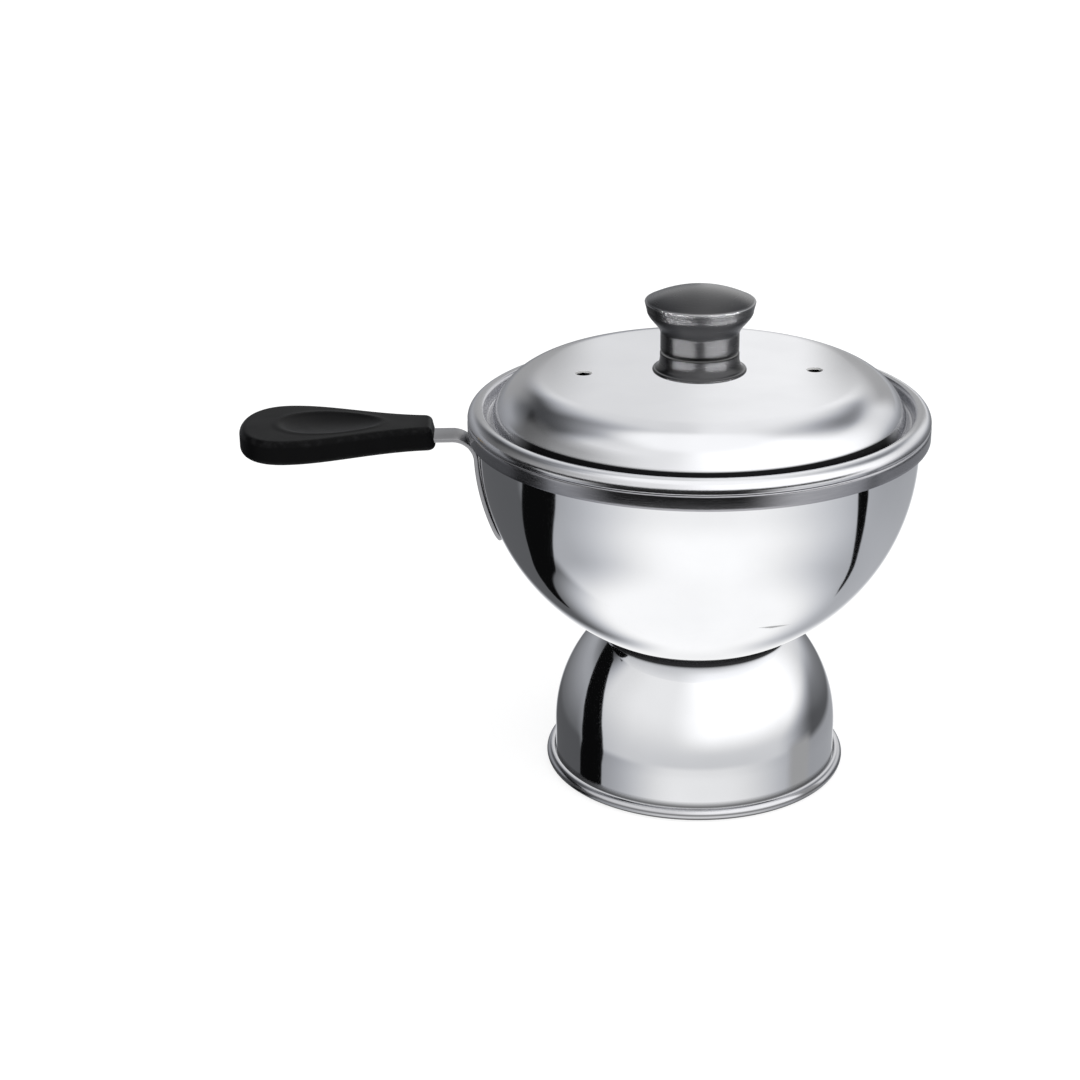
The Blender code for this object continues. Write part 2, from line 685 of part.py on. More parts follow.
def main():
    """Builds every piece of the puttu maker."""
    clear_scene()
    parts = make_collection("puttu_maker")
    cutters = make_collection("cutters")
    polished = make_material("polished_steel", (0.78, 0.79, 0.81), 1.0, 0.08)
    satin = make_material("satin_steel", (0.62, 0.63, 0.65), 1.0, 0.32)
    bakelite = make_material("black_bakelite", (0.012, 0.012, 0.013), 0.0, 0.42)
    knob_grey = make_material("knob_grey", (0.17, 0.175, 0.18), 0.85, 0.30)
    brass = make_material("brass", (0.72, 0.52, 0.24), 1.0, 0.35)

    axis = make_axis("bowl_axis", AXIS_X, parts)
    grip_axis = make_axis("grip_screw_axis", GRIP_SCREW_X, parts, axis)
    pressed("base_cup", base_profile(), BASE_SHEET, parts, axis, polished)
    pressed("bowl_shell", bowl_profile(), BOWL_SHEET, parts, axis, polished)
    build_plate(parts, cutters, axis, satin)
    build_lid(parts, cutters, axis, polished)
    turned("knob_collar", collar_profile(), True, KNOB_STEPS, parts, axis, knob_grey)
    turned("lid_knob", knob_profile(), False, KNOB_STEPS, parts, axis, knob_grey)
    turned("knob_insert", knob_insert_profile(), True, SMALL_STEPS, parts, axis, brass)
    turned("knob_washer", washer_profile(), True, SMALL_STEPS, parts, axis, satin)
    turned("knob_screw", knob_screw_profile(), False, SMALL_STEPS, parts, axis, satin)
    build_strap(parts, cutters, axis, satin)
    build_grip(parts, cutters, axis, grip_axis, bakelite)
    turned("grip_insert", grip_insert_profile(), True, SMALL_STEPS, parts, grip_axis, brass)
    turned("grip_screw", grip_screw_profile(), False, SMALL_STEPS, parts, grip_axis, satin)


main()
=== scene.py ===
"""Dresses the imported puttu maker: pressed steel bowl, cup, lid and steam plate, turned knob, strap and grip.

Lengths are in metres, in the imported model's frame: +Z up, the ground at z = 0, the handle along -X.
"""

import logging
import math
from dataclasses import dataclass
from enum import Enum
from typing import Callable, Sequence, Union

import bmesh
import bpy
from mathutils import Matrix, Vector


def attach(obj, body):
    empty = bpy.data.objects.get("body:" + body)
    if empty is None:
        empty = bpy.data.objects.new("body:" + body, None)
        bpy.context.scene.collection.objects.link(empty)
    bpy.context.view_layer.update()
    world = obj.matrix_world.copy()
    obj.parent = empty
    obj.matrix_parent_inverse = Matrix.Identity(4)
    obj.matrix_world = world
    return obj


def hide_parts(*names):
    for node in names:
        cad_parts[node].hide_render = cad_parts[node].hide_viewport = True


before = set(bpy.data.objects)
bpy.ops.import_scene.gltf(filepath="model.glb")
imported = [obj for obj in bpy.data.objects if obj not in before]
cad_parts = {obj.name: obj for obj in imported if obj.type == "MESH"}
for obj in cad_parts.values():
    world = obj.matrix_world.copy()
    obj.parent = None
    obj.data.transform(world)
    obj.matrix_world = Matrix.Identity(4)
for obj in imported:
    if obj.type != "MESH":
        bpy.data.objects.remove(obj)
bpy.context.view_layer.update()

log = logging.getLogger("puttu_maker")
AXIS_X = 0.03415
CLEARANCE = 0.0003
WELD = 2.0e-7
CUTTER_SIDES = 48
VIEW_AZIMUTH = 5.0

Pair = tuple[float, float]
Row = tuple[float, float, float]
Fade = tuple[float, float, float, float]
Point = tuple[float, float]
Place = tuple[float, float, float]
Tone = tuple[float, float]
Piece = bpy.types.Object
Material = bpy.types.Material
Socket = bpy.types.NodeSocket
Value = Union[float, int, Sequence[float], Socket, Material]
Inputs = dict[Union[str, int], Value]


class Body(Enum):
    """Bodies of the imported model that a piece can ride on."""

    PAN = "pan"
    LID = "lid"
    PLATE = "plate"


class Slot(Enum):
    """Names of material slots."""

    POLISHED = "polished_steel"
    SATIN = "satin_steel"
    BAKELITE = "black_bakelite"
    KNOB = "knob_grey"
    BRASS = "brass"


class Graph:
    """Adds nodes to one node tree and links them."""

    def __init__(self, tree: bpy.types.NodeTree) -> None:
        """Keeps the tree that gets the nodes."""
        self.tree = tree

    def node(self, kind: str, inputs: Inputs | None = None, **settings: object) -> bpy.types.Node:
        """Adds a node.

        Args:
            kind: the node's type.
            inputs: socket name or number to a value, or to the socket that feeds it.
            settings: properties of the node.

        Returns:
            The new node.
        """
        made = self.tree.nodes.new(kind)
        for name, value in settings.items():
            setattr(made, name, value)
        for name, value in (inputs or {}).items():
            if isinstance(value, Socket):
                self.tree.links.new(value, made.inputs[name])
            else:
                made.inputs[name].default_value = value
        return made

    def out(self, kind: str, inputs: Inputs | None = None, **settings: object) -> Socket:
        """Adds a node and gives its first output."""
        return self.node(kind, inputs, **settings).outputs[0]

    def math(self, operation: str, *values: Value) -> Socket:
        """The result of a Math node on numbers or sockets."""
        return self.out("ShaderNodeMath", dict(enumerate(values)), operation=operation)

    def plus(self, first: Value, second: Value) -> Socket:
        """The sum of two values."""
        return self.math("ADD", first, second)

    def minus(self, first: Value, second: Value) -> Socket:
        """The difference of two values."""
        return self.math("SUBTRACT", first, second)

    def times(self, first: Value, second: Value) -> Socket:
        """The product of two values."""
        return self.math("MULTIPLY", first, second)

    def vector(self, x: Value, y: Value, z: Value) -> Socket:
        """A vector of three values."""
        return self.out("ShaderNodeCombineXYZ", {0: x, 1: y, 2: z})

    def attribute(self, name: str) -> Socket:
        """A number that the mesh holds at each point."""
        return self.node("ShaderNodeAttribute", attribute_name=name).outputs["Fac"]

    def step(self, value: Value, start: Value, end: Value, low: float = 0.0, high: float = 1.0) -> Socket:
        """A smooth change from low to high while value goes from start to end.

        Args:
            value: what is followed.
            start: where the change starts.
            end: where it ends.
            low: the result at the start.
            high: the result at the end.

        Returns:
            The result's socket.
        """
        inputs = {"Value": value, "From Min": start, "From Max": end, "To Min": low, "To Max": high}
        return self.out("ShaderNodeMapRange", inputs, interpolation_type="SMOOTHSTEP")

    def blend(self, share: Value, first: Value, second: Value) -> Socket:
        """Goes from the first number to the second as share goes from 0 to 1."""
        return self.out("ShaderNodeMix", {0: share, 2: first, 3: second}, data_type="FLOAT")

    def tint(self, share: Value, first: Value, second: Value) -> Socket:
        """Goes from the first colour to the second as share goes from 0 to 1."""
        return self.node("ShaderNodeMix", {0: share, 6: first, 7: second}, data_type="RGBA").outputs[2]

    def curve(self, value: Value, points: Sequence[Pair]) -> Socket:
        """A smooth curve through given points.

        Args:
            value: what is followed.
            points: (value, result), by rising value.

        Returns:
            The result's socket.
        """
        start, end = points[0][0], points[-1][0]
        low, high = min(y for _, y in points), max(y for _, y in points)
        share = self.math("DIVIDE", self.minus(value, start), end - start)
        made = self.node("ShaderNodeFloatCurve", {"Factor": 1.0, "Value": share})
        bend = made.mapping.curves[0]
        while len(bend.points) < len(points):
            bend.points.new(0.5, 0.5)
        for spot, (x, y) in zip(bend.points, points):
            spot.location = ((x - start) / (end - start), (y - low) / (high - low))
            spot.handle_type = "AUTO_CLAMPED"
        made.mapping.update()
        return self.math("MULTIPLY_ADD", made.outputs[0], high - low, low)

    def noise(self, vector: Socket, scale: float, detail: float, rough: float = 0.5) -> Socket:
        """Noise between 0 and 1.

        Args:
            vector: where it is read.
            scale: grains for each unit.
            detail: octaves.
            rough: weight of the finer octaves.

        Returns:
            The noise's socket.
        """
        inputs = {"Vector": vector, "Scale": scale, "Detail": detail, "Roughness": rough}
        return self.out("ShaderNodeTexNoise", inputs)

    def feed(self, shader: bpy.types.Node, colour: Socket, roughness: Socket, normal: Socket) -> None:
        """Links what a Principled shader reads.

        Args:
            shader: the shader.
            colour: its base colour.
            roughness: its roughness.
            normal: its normal.
        """
        for name, socket in (("Base Color", colour), ("Roughness", roughness), ("Normal", normal)):
            self.tree.links.new(socket, shader.inputs[name])


def shaded(colour: Sequence[float], share: float = 1.0) -> tuple[float, ...]:
    """A colour times share, no channel above 1, with its alpha."""
    return (*(min(1.0, channel * share) for channel in colour), 1.0)


@dataclass(frozen=True)
class Finish:
    """What every finish shares: a Principled shader on coordinates centred on the object's axis."""

    name: str
    colour: tuple[float, float, float]
    metallic: float = 1.0
    roughness: float = 0.1

    def material(self) -> Material:
        """Builds the material.

        Returns:
            The new material.
        """
        made = bpy.data.materials.new(self.name)
        made.use_nodes = True
        made.diffuse_color = shaded(self.colour)
        shader = made.node_tree.nodes["Principled BSDF"]
        shader.inputs["Metallic"].default_value = self.metallic
        graph = Graph(made.node_tree)
        place = graph.node("ShaderNodeTexCoord").outputs["Object"]
        centred = graph.out("ShaderNodeMapping", {"Vector": place, "Location": (-AXIS_X, 0.0, 0.0)})
        self.dress(graph, shader, centred)
        return made

    def dress(self, graph: Graph, shader: bpy.types.Node, place: Socket) -> None:
        """Adds what sets this finish apart.

        Args:
            graph: the material's nodes.
            shader: its Principled node.
            place: coordinates centred on the axis.
        """
        raise NotImplementedError

    def around(self, graph: Graph, place: Socket) -> tuple[Socket, Socket, Socket]:
        """Turns place into angle, radius and height round the axis.

        Args:
            graph: the material's nodes.
            place: centred coordinates.

        Returns:
            Sockets of the angle in radians, the radius and the height.
        """
        x, y, z = graph.node("ShaderNodeSeparateXYZ", {0: place}).outputs
        square = graph.plus(graph.times(x, x), graph.times(y, y))
        return graph.math("ARCTAN2", y, x), graph.math("SQRT", square), z

    def relief(self, graph: Graph, height: Socket, depth: float, under: Socket | None = None) -> Socket:
        """A bump of real depth.

        Args:
            graph: the material's nodes.
            height: pattern between 0 and 1.
            depth: what 1 stands for, in metres.
            under: the normal below it.

        Returns:
            The normal's socket.
        """
        inputs: Inputs = {"Strength": 1.0, "Distance": depth, "Height": height}
        if under is not None:
            inputs["Normal"] = under
        return graph.out("ShaderNodeBump", inputs)


@dataclass(frozen=True)
class SpunSteel(Finish):
    """Mirror-polished pressed steel, with a satin tone and a painted shade that its sections give.

    The satin attribute turns it into a band brushed round the axis, the shade attribute paints shade into grooves
    and creases, and the reach is how far round from the front that painted shade goes, in radians. The densities
    are grains per metre.
    """

    cloud: float = 0.03
    wave: float = 5.0e-6
    spin: float = 2.5e-7
    ring_density: float = 3000.0
    stroke_density: float = 4200.0
    stroke_depth: float = 3.0e-6
    least_roughness: float = 0.015
    satin_colour: tuple[float, float, float] = (0.38, 0.38, 0.40)
    satin_roughness: float = 0.22
    painted_shade_colour: tuple[float, float, float] = (0.012, 0.012, 0.013)
    painted_shade_roughness: float = 0.6
    painted_shade_reach: float = 4.0
    painted_shade_fade: float = 0.3

    def dress(self, graph: Graph, shader: bpy.types.Node, place: Socket) -> None:
        """Adds polish, spin lines, brushed band and painted shade.

        Args:
            graph: the material's nodes.
            shader: its Principled node.
            place: coordinates centred on the axis.
        """
        angle, radius, height = self.around(graph, place)
        satin = graph.attribute("satin")
        # Painted shade: the section's shade share darkens grooves and creases, fading out past the reach from the
        # front.
        from_front = graph.math("WRAP", graph.plus(angle, math.pi * 0.5), math.pi, -math.pi)
        within = graph.step(graph.math("ABSOLUTE", from_front), self.painted_shade_reach, self.painted_shade_reach - self.painted_shade_fade)
        painted_shade = graph.times(graph.attribute("painted_shade"), within)
        rings = graph.vector(graph.times(radius, self.ring_density), graph.times(height, self.ring_density), angle)
        spun = graph.noise(rings, 1.0, 3.0)
        fast = self.stroke_density
        strokes = graph.vector(graph.times(angle, 9.0), graph.times(height, fast), graph.times(radius, fast))
        brushed = graph.noise(strokes, 1.0, 4.0, 0.6)
        patches = graph.noise(place, 55.0, 3.0)
        fine = graph.noise(place, 900.0, 2.0)

        polish = graph.plus(self.roughness, graph.times(graph.minus(patches, 0.35), self.cloud * 2.0))
        polish = graph.math("MAXIMUM", graph.plus(polish, graph.times(fine, 0.012)), self.least_roughness)
        band = graph.plus(self.satin_roughness - 0.06, graph.times(brushed, 0.16))
        rough = graph.blend(painted_shade, graph.blend(satin, polish, band), self.painted_shade_roughness)

        steel = graph.tint(graph.step(patches, 0.3, 0.8), shaded(self.colour), shaded(self.colour, 0.965))
        worn = graph.tint(brushed, shaded(self.satin_colour, 0.8), shaded(self.satin_colour, 1.2))
        # Painted shade: near-black colour where the shade share is high.
        colour = graph.tint(painted_shade, graph.tint(satin, steel, worn), shaded(self.painted_shade_colour))

        normal = self.relief(graph, graph.noise(place, 42.0, 1.0), self.wave)
        normal = self.relief(graph, spun, self.spin, normal)
        normal = self.relief(graph, graph.times(brushed, satin), self.stroke_depth, normal)
        graph.feed(shader, colour, rough, normal)


@dataclass(frozen=True)
class BrushedStrip(Finish):
    """Satin steel with fine strokes along X, for the strap and small steel parts."""

    stroke: tuple[float, float, float] = (60.0, 2600.0, 2600.0)
    stroke_depth: float = 2.5e-6

    def dress(self, graph: Graph, shader: bpy.types.Node, place: Socket) -> None:
        """Adds strokes in roughness, tone and relief.

        Args:
            graph: the material's nodes.
            shader: its Principled node.
            place: coordinates centred on the axis.
        """
        stretched = graph.out("ShaderNodeMapping", {"Vector": place, "Scale": self.stroke})
        strokes = graph.noise(stretched, 1.0, 3.0, 0.6)
        rough = graph.plus(self.roughness - 0.08, graph.times(strokes, 0.16))
        mixed = graph.math("MULTIPLY_ADD", strokes, 0.7, graph.times(graph.noise(place, 120.0, 3.0), 0.3))
        colour = graph.tint(mixed, shaded(self.colour, 0.8), shaded(self.colour, 1.15))
        graph.feed(shader, colour, rough, self.relief(graph, strokes, self.stroke_depth))


@dataclass(frozen=True)
class TurnedCoat(Finish):
    """Dark grey metallic coat on the turned knob: fine lathe rings and a faint flake."""

    density: float = 5200.0
    # The light edge colour and roughness are a painted highlight on the cap's edge; the near-black colour is
    # painted shade in the groove.
    edge_highlight_colour: tuple[float, float, float] = (0.55, 0.55, 0.56)
    edge_highlight_roughness: float = 0.18
    painted_shade_colour: tuple[float, float, float] = (0.002, 0.002, 0.002)
    ring_depth: float = 1.6e-6
    flake_depth: float = 1.5e-6

    def dress(self, graph: Graph, shader: bpy.types.Node, place: Socket) -> None:
        """Adds lathe rings, flake, a painted highlight on the cap's edge and painted shade in the groove.

        Args:
            graph: the material's nodes.
            shader: its Principled node.
            place: coordinates centred on the axis.
        """
        angle, radius, height = self.around(graph, place)
        fine = self.density
        rings = graph.vector(graph.times(radius, fine), graph.times(height, fine), graph.times(angle, 1.5))
        turned = graph.noise(rings, 1.0, 3.0)
        flake = graph.noise(place, fine, 1.0)
        # The satin share here holds the painted highlight on the cap's edge.
        edge_highlight = graph.attribute("satin")
        rough = graph.plus(self.roughness - 0.05, graph.times(turned, 0.12))
        mixed = graph.math("MULTIPLY_ADD", turned, 0.5, graph.times(flake, 0.5))
        coat = graph.tint(mixed, shaded(self.colour, 0.75), shaded(self.colour, 1.25))
        coat = graph.tint(edge_highlight, coat, shaded(self.edge_highlight_colour))
        # Painted shade in the groove above the collar.
        coat = graph.tint(graph.attribute("painted_shade"), coat, shaded(self.painted_shade_colour))
        normal = self.relief(graph, flake, self.flake_depth, self.relief(graph, turned, self.ring_depth))
        graph.feed(shader, coat, graph.blend(edge_highlight, rough, self.edge_highlight_roughness), normal)


@dataclass(frozen=True)
class MouldedBakelite(Finish):
    """Matte black phenolic moulding with a fine grain and rubbed edges."""

    gloss: float = 0.04
    rubbed_colour: tuple[float, float, float] = (0.008, 0.008, 0.0085)
    rubbed_roughness: float = 0.34
    grain_depth: float = 9.0e-6

    def dress(self, graph: Graph, shader: bpy.types.Node, place: Socket) -> None:
        """Adds grain, cloudy sheen and edge wear.

        Args:
            graph: the material's nodes.
            shader: its Principled node.
            place: coordinates centred on the axis.
        """
        shader.inputs["Specular IOR Level"].default_value = self.gloss
        clouds = graph.noise(place, 130.0, 3.0)
        edge = graph.attribute("edge")
        rough = graph.plus(self.roughness - 0.06, graph.times(clouds, 0.14))
        body = graph.tint(clouds, shaded(self.colour, 0.7), shaded(self.colour, 1.5))
        rubbed = graph.times(edge, graph.step(graph.noise(place, 420.0, 4.0), 0.4, 0.7))
        colour = graph.tint(rubbed, body, shaded(self.rubbed_colour))
        grain = self.relief(graph, graph.noise(place, 3800.0, 3.0, 0.6), self.grain_depth)
        graph.feed(shader, colour, graph.blend(edge, rough, self.rubbed_roughness), grain)


@dataclass(frozen=True)
class CutBrass(Finish):
    """Turned brass of the moulded-in inserts."""

    marks: tuple[float, float, float] = (200.0, 200.0, 6000.0)
    mark_depth: float = 3.0e-6

    def dress(self, graph: Graph, shader: bpy.types.Node, place: Socket) -> None:
        """Adds cutting marks and tarnish.

        Args:
            graph: the material's nodes.
            shader: its Principled node.
            place: coordinates centred on the axis.
        """
        stretched = graph.out("ShaderNodeMapping", {"Vector": place, "Scale": self.marks})
        tarnish = graph.noise(place, 260.0, 3.0)
        rough = graph.plus(self.roughness - 0.1, graph.times(tarnish, 0.22))
        aged = graph.tint(tarnish, shaded(self.colour), shaded(self.colour, 0.55))
        graph.feed(shader, aged, rough, self.relief(graph, graph.noise(stretched, 1.0, 2.0), self.mark_depth))


@dataclass(frozen=True)
class Finishes:
    """All finishes of the object, made once."""

    vessel: Material
    cup: Material
    lid: Material
    plate: Material
    strip: Material
    coat: Material
    bakelite: Material
    brass: Material

    @classmethod
    def make(cls) -> "Finishes":
        """Builds every material.

        Returns:
            The finishes.
        """
        # The lid's painted shade at the dome's foot reaches only round the front.
        lid = SpunSteel(
            "lid_steel", (0.67, 0.675, 0.695), roughness=0.13, cloud=0.04,
            satin_colour=(0.6, 0.6, 0.62), painted_shade_reach=1.25,
        )
        bakelite = MouldedBakelite("grip_bakelite", (0.0022, 0.0022, 0.0024), metallic=0.0, roughness=0.44)
        return cls(
            vessel=SpunSteel("vessel_steel", (0.82, 0.825, 0.84), roughness=0.035).material(),
            # The cup's steel is the bowl's steel made darker: painted shade.
            cup=SpunSteel("cup_steel_painted_darker", (0.69, 0.695, 0.71), roughness=0.045).material(),
            lid=lid.material(),
            plate=SpunSteel("plate_steel", (0.72, 0.725, 0.74), roughness=0.24, cloud=0.08, spin=2.0e-6).material(),
            strip=BrushedStrip("strap_steel", (0.29, 0.29, 0.3), roughness=0.33).material(),
            coat=TurnedCoat("knob_coat", (0.057, 0.057, 0.059), roughness=0.24).material(),
            bakelite=bakelite.material(),
            brass=CutBrass("insert_brass", (0.72, 0.52, 0.24), roughness=0.34).material(),
        )


def arc(centre: Point, radius: float, start: float, end: float, segments: int) -> list[Point]:
    """Points of an arc in the section's plane.

    Args:
        centre: its centre (radius, height).
        radius: its radius.
        start: angle at its start in degrees, from +r towards +z.
        end: angle at its end.
        segments: number of segments.

    Returns:
        The points in order.
    """
    turns = [math.radians(start + (end - start) * index / segments) for index in range(segments + 1)]
    return [(centre[0] + radius * math.cos(turn), centre[1] + radius * math.sin(turn)) for turn in turns]


def run(start: Point, end: Point, segments: int) -> list[Point]:
    """Points of a straight run, its start left out.

    Args:
        start: where it comes from.
        end: where it ends.
        segments: number of segments.

    Returns:
        The points in order.
    """
    shares = [index / segments for index in range(1, segments + 1)]
    return [(start[0] + (end[0] - start[0]) * s, start[1] + (end[1] - start[1]) * s) for s in shares]


def bezier(spots: Sequence[Point], segments: int) -> list[Point]:
    """Points of a cubic curve, its start left out.

    Args:
        spots: start, first handle, second handle and end.
        segments: number of segments.

    Returns:
        The points in order.
    """
    made = []
    for index in range(1, segments + 1):
        t = index / segments
        shares = ((1 - t) ** 3, 3 * t * (1 - t) ** 2, 3 * t * t * (1 - t), t ** 3)
        made.append(tuple(sum(s * spot[axis] for s, spot in zip(shares, spots)) for axis in range(2)))
    return made


def thicken(face: Sequence[Point], sheet: float, caps: int = 5) -> list[Point]:
    """Makes a closed section of a pressed sheet from one of its faces.

    Args:
        face: points of one face.
        sheet: thickness, to the left of the face's direction where positive and to the right where negative.
        caps: segments of each rounded edge.

    Returns:
        The closed section.
    """
    other = []
    for index, (radius, height) in enumerate(face):
        before = Vector(face[max(index - 1, 0)])
        after = Vector(face[min(index + 1, len(face) - 1)])
        here = Vector((radius, height))
        first = (here - before).normalized() if index else (after - here).normalized()
        second = (after - here).normalized() if index < len(face) - 1 else first
        along = (first + second).normalized()
        spread = max(0.5, first.dot(along))
        other.append((radius - along.y * sheet / spread, height + along.x * sheet / spread))

    def cap(start: Point, end: Point) -> list[Point]:
        """Rounds the sheet's edge.

        Args:
            start: where the edge starts.
            end: where it ends.

        Returns:
            The points between them.
        """
        middle = ((start[0] + end[0]) / 2.0, (start[1] + end[1]) / 2.0)
        lead = math.degrees(math.atan2(start[1] - middle[1], start[0] - middle[0]))
        return arc(middle, abs(sheet) / 2.0, lead, lead + math.copysign(180.0, sheet), caps)[1:-1]

    return list(face) + cap(face[-1], other[-1]) + other[::-1] + cap(other[0], face[0])


def thread(low: float, high: float, radius: float, depth: float, pitch: float) -> list[Point]:
    """Section of a threaded length, from high down to low.

    Args:
        low: height of its lower end.
        high: height of its upper end.
        radius: radius at its crests.
        depth: how far its roots lie inside them.
        pitch: distance of its crests.

    Returns:
        The points in order.
    """
    halves = 2 * max(2, round((high - low) / pitch))
    fall = (high - low) / halves
    return [(radius - depth * (index % 2), high - fall * index) for index in range(halves + 1)]


def ramp(value: float, start: float, end: float) -> float:
    """0 at start and 1 at end, smooth between."""
    share = min(1.0, max(0.0, (value - start) / (end - start)))
    return share * share * (3.0 - 2.0 * share)


def near(value: float, target: float, reach: float) -> float:
    """1 at target, falling smoothly to 0 at reach from it."""
    return ramp(abs(value - target), reach, 0.0)


def bare_tone(radius: float, height: float) -> Tone:
    """Neither satin nor painted shade."""
    return 0.0, 0.0


def new_object(name: str, mesh: bpy.types.Mesh) -> Piece:
    """Makes an object and links it to the scene.

    Args:
        name: its name.
        mesh: its mesh.

    Returns:
        The new object.
    """
    made = bpy.data.objects.new(name, mesh)
    bpy.context.scene.collection.objects.link(made)
    return made


def solid(name: str, shape: bmesh.types.BMesh, finish: Material | None = None) -> Piece:
    """Makes an object of a shape and frees the shape.

    Args:
        name: the object's name.
        shape: the shape.
        finish: its material, where it has one.

    Returns:
        The new object.
    """
    mesh = bpy.data.meshes.new(name)
    shape.to_mesh(mesh)
    shape.free()
    if finish:
        mesh.materials.append(finish)
    return new_object(name, mesh)


def join_rows(shape: bmesh.types.BMesh, rows: Sequence[Sequence[bmesh.types.BMVert]]) -> None:
    """Joins each closed row of vertices to the next with faces.

    Args:
        shape: the shape that holds them.
        rows: the rows in order, all with the same number of vertices.
    """
    for first, second in zip(rows, rows[1:]):
        for index in range(len(first)):
            after = (index + 1) % len(first)
            shape.faces.new((first[index], first[after], second[after], second[index]))


def settle(piece: Piece) -> None:
    """Turns a piece and its modifiers into a plain mesh.

    Args:
        piece: the object.
    """
    graph = bpy.context.evaluated_depsgraph_get()
    ready = piece.evaluated_get(graph)
    mesh = bpy.data.meshes.new_from_object(ready, preserve_all_data_layers=True, depsgraph=graph)
    piece.modifiers.clear()
    old, piece.data = piece.data, mesh
    bpy.data.meshes.remove(old)
    mesh.name = piece.name


def outward(piece: Piece, crease: float = 32.0) -> Piece:
    """Points a closed mesh's faces outwards, shades it smooth and keeps its creases.

    Args:
        piece: the object.
        crease: angle in degrees above which an edge stays sharp.

    Returns:
        The same object.
    """
    shape = bmesh.new()
    shape.from_mesh(piece.data)
    bmesh.ops.recalc_face_normals(shape, faces=shape.faces)
    shape.to_mesh(piece.data)
    shape.free()
    piece.data.polygons.foreach_set("use_smooth", [True] * len(piece.data.polygons))
    piece.data.set_sharp_from_angle(angle=math.radians(crease))
    return piece


def finished(piece: Piece, body: Body, slot: Slot, *nodes: str) -> Piece:
    """Puts a finished piece on its body in place of its CAD nodes, and reports it.

    Args:
        piece: the object.
        body: what it rides on.
        slot: a material slot name; not used.
        nodes: the CAD nodes that it stands for.

    Returns:
        The same object.
    """
    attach(piece, body.value)
    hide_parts(*nodes)
    log.info("%s: %d faces on %s", piece.name, len(piece.data.polygons), body.value)
    return piece


def new_tree(name: str, inputs: dict[str, str]) -> bpy.types.GeometryNodeTree:
    """Makes a Geometry Nodes tree without nodes.

    Args:
        name: its name.
        inputs: name of each input to its kind of socket.

    Returns:
        The tree, with one geometry as its output.
    """
    tree = bpy.data.node_groups.new(name, "GeometryNodeTree")
    for label, kind in inputs.items():
        tree.interface.new_socket(label, in_out="INPUT", socket_type=f"NodeSocket{kind}")
    tree.interface.new_socket("Made", in_out="OUTPUT", socket_type="NodeSocketGeometry")
    return tree


def grow(piece: Piece, tree: bpy.types.GeometryNodeTree, values: dict[str, object]) -> Piece:
    """Runs a tree on a piece and keeps the result as a plain mesh.

    Args:
        piece: the object.
        tree: the Geometry Nodes tree.
        values: its inputs by name.

    Returns:
        The same object.
    """
    modifier = piece.modifiers.new(tree.name, "NODES")
    modifier.node_group = tree
    for item in tree.interface.items_tree:
        if item.in_out == "INPUT" and item.name in values:
            modifier[item.identifier] = values[item.name]
    settle(piece)
    return outward(piece)


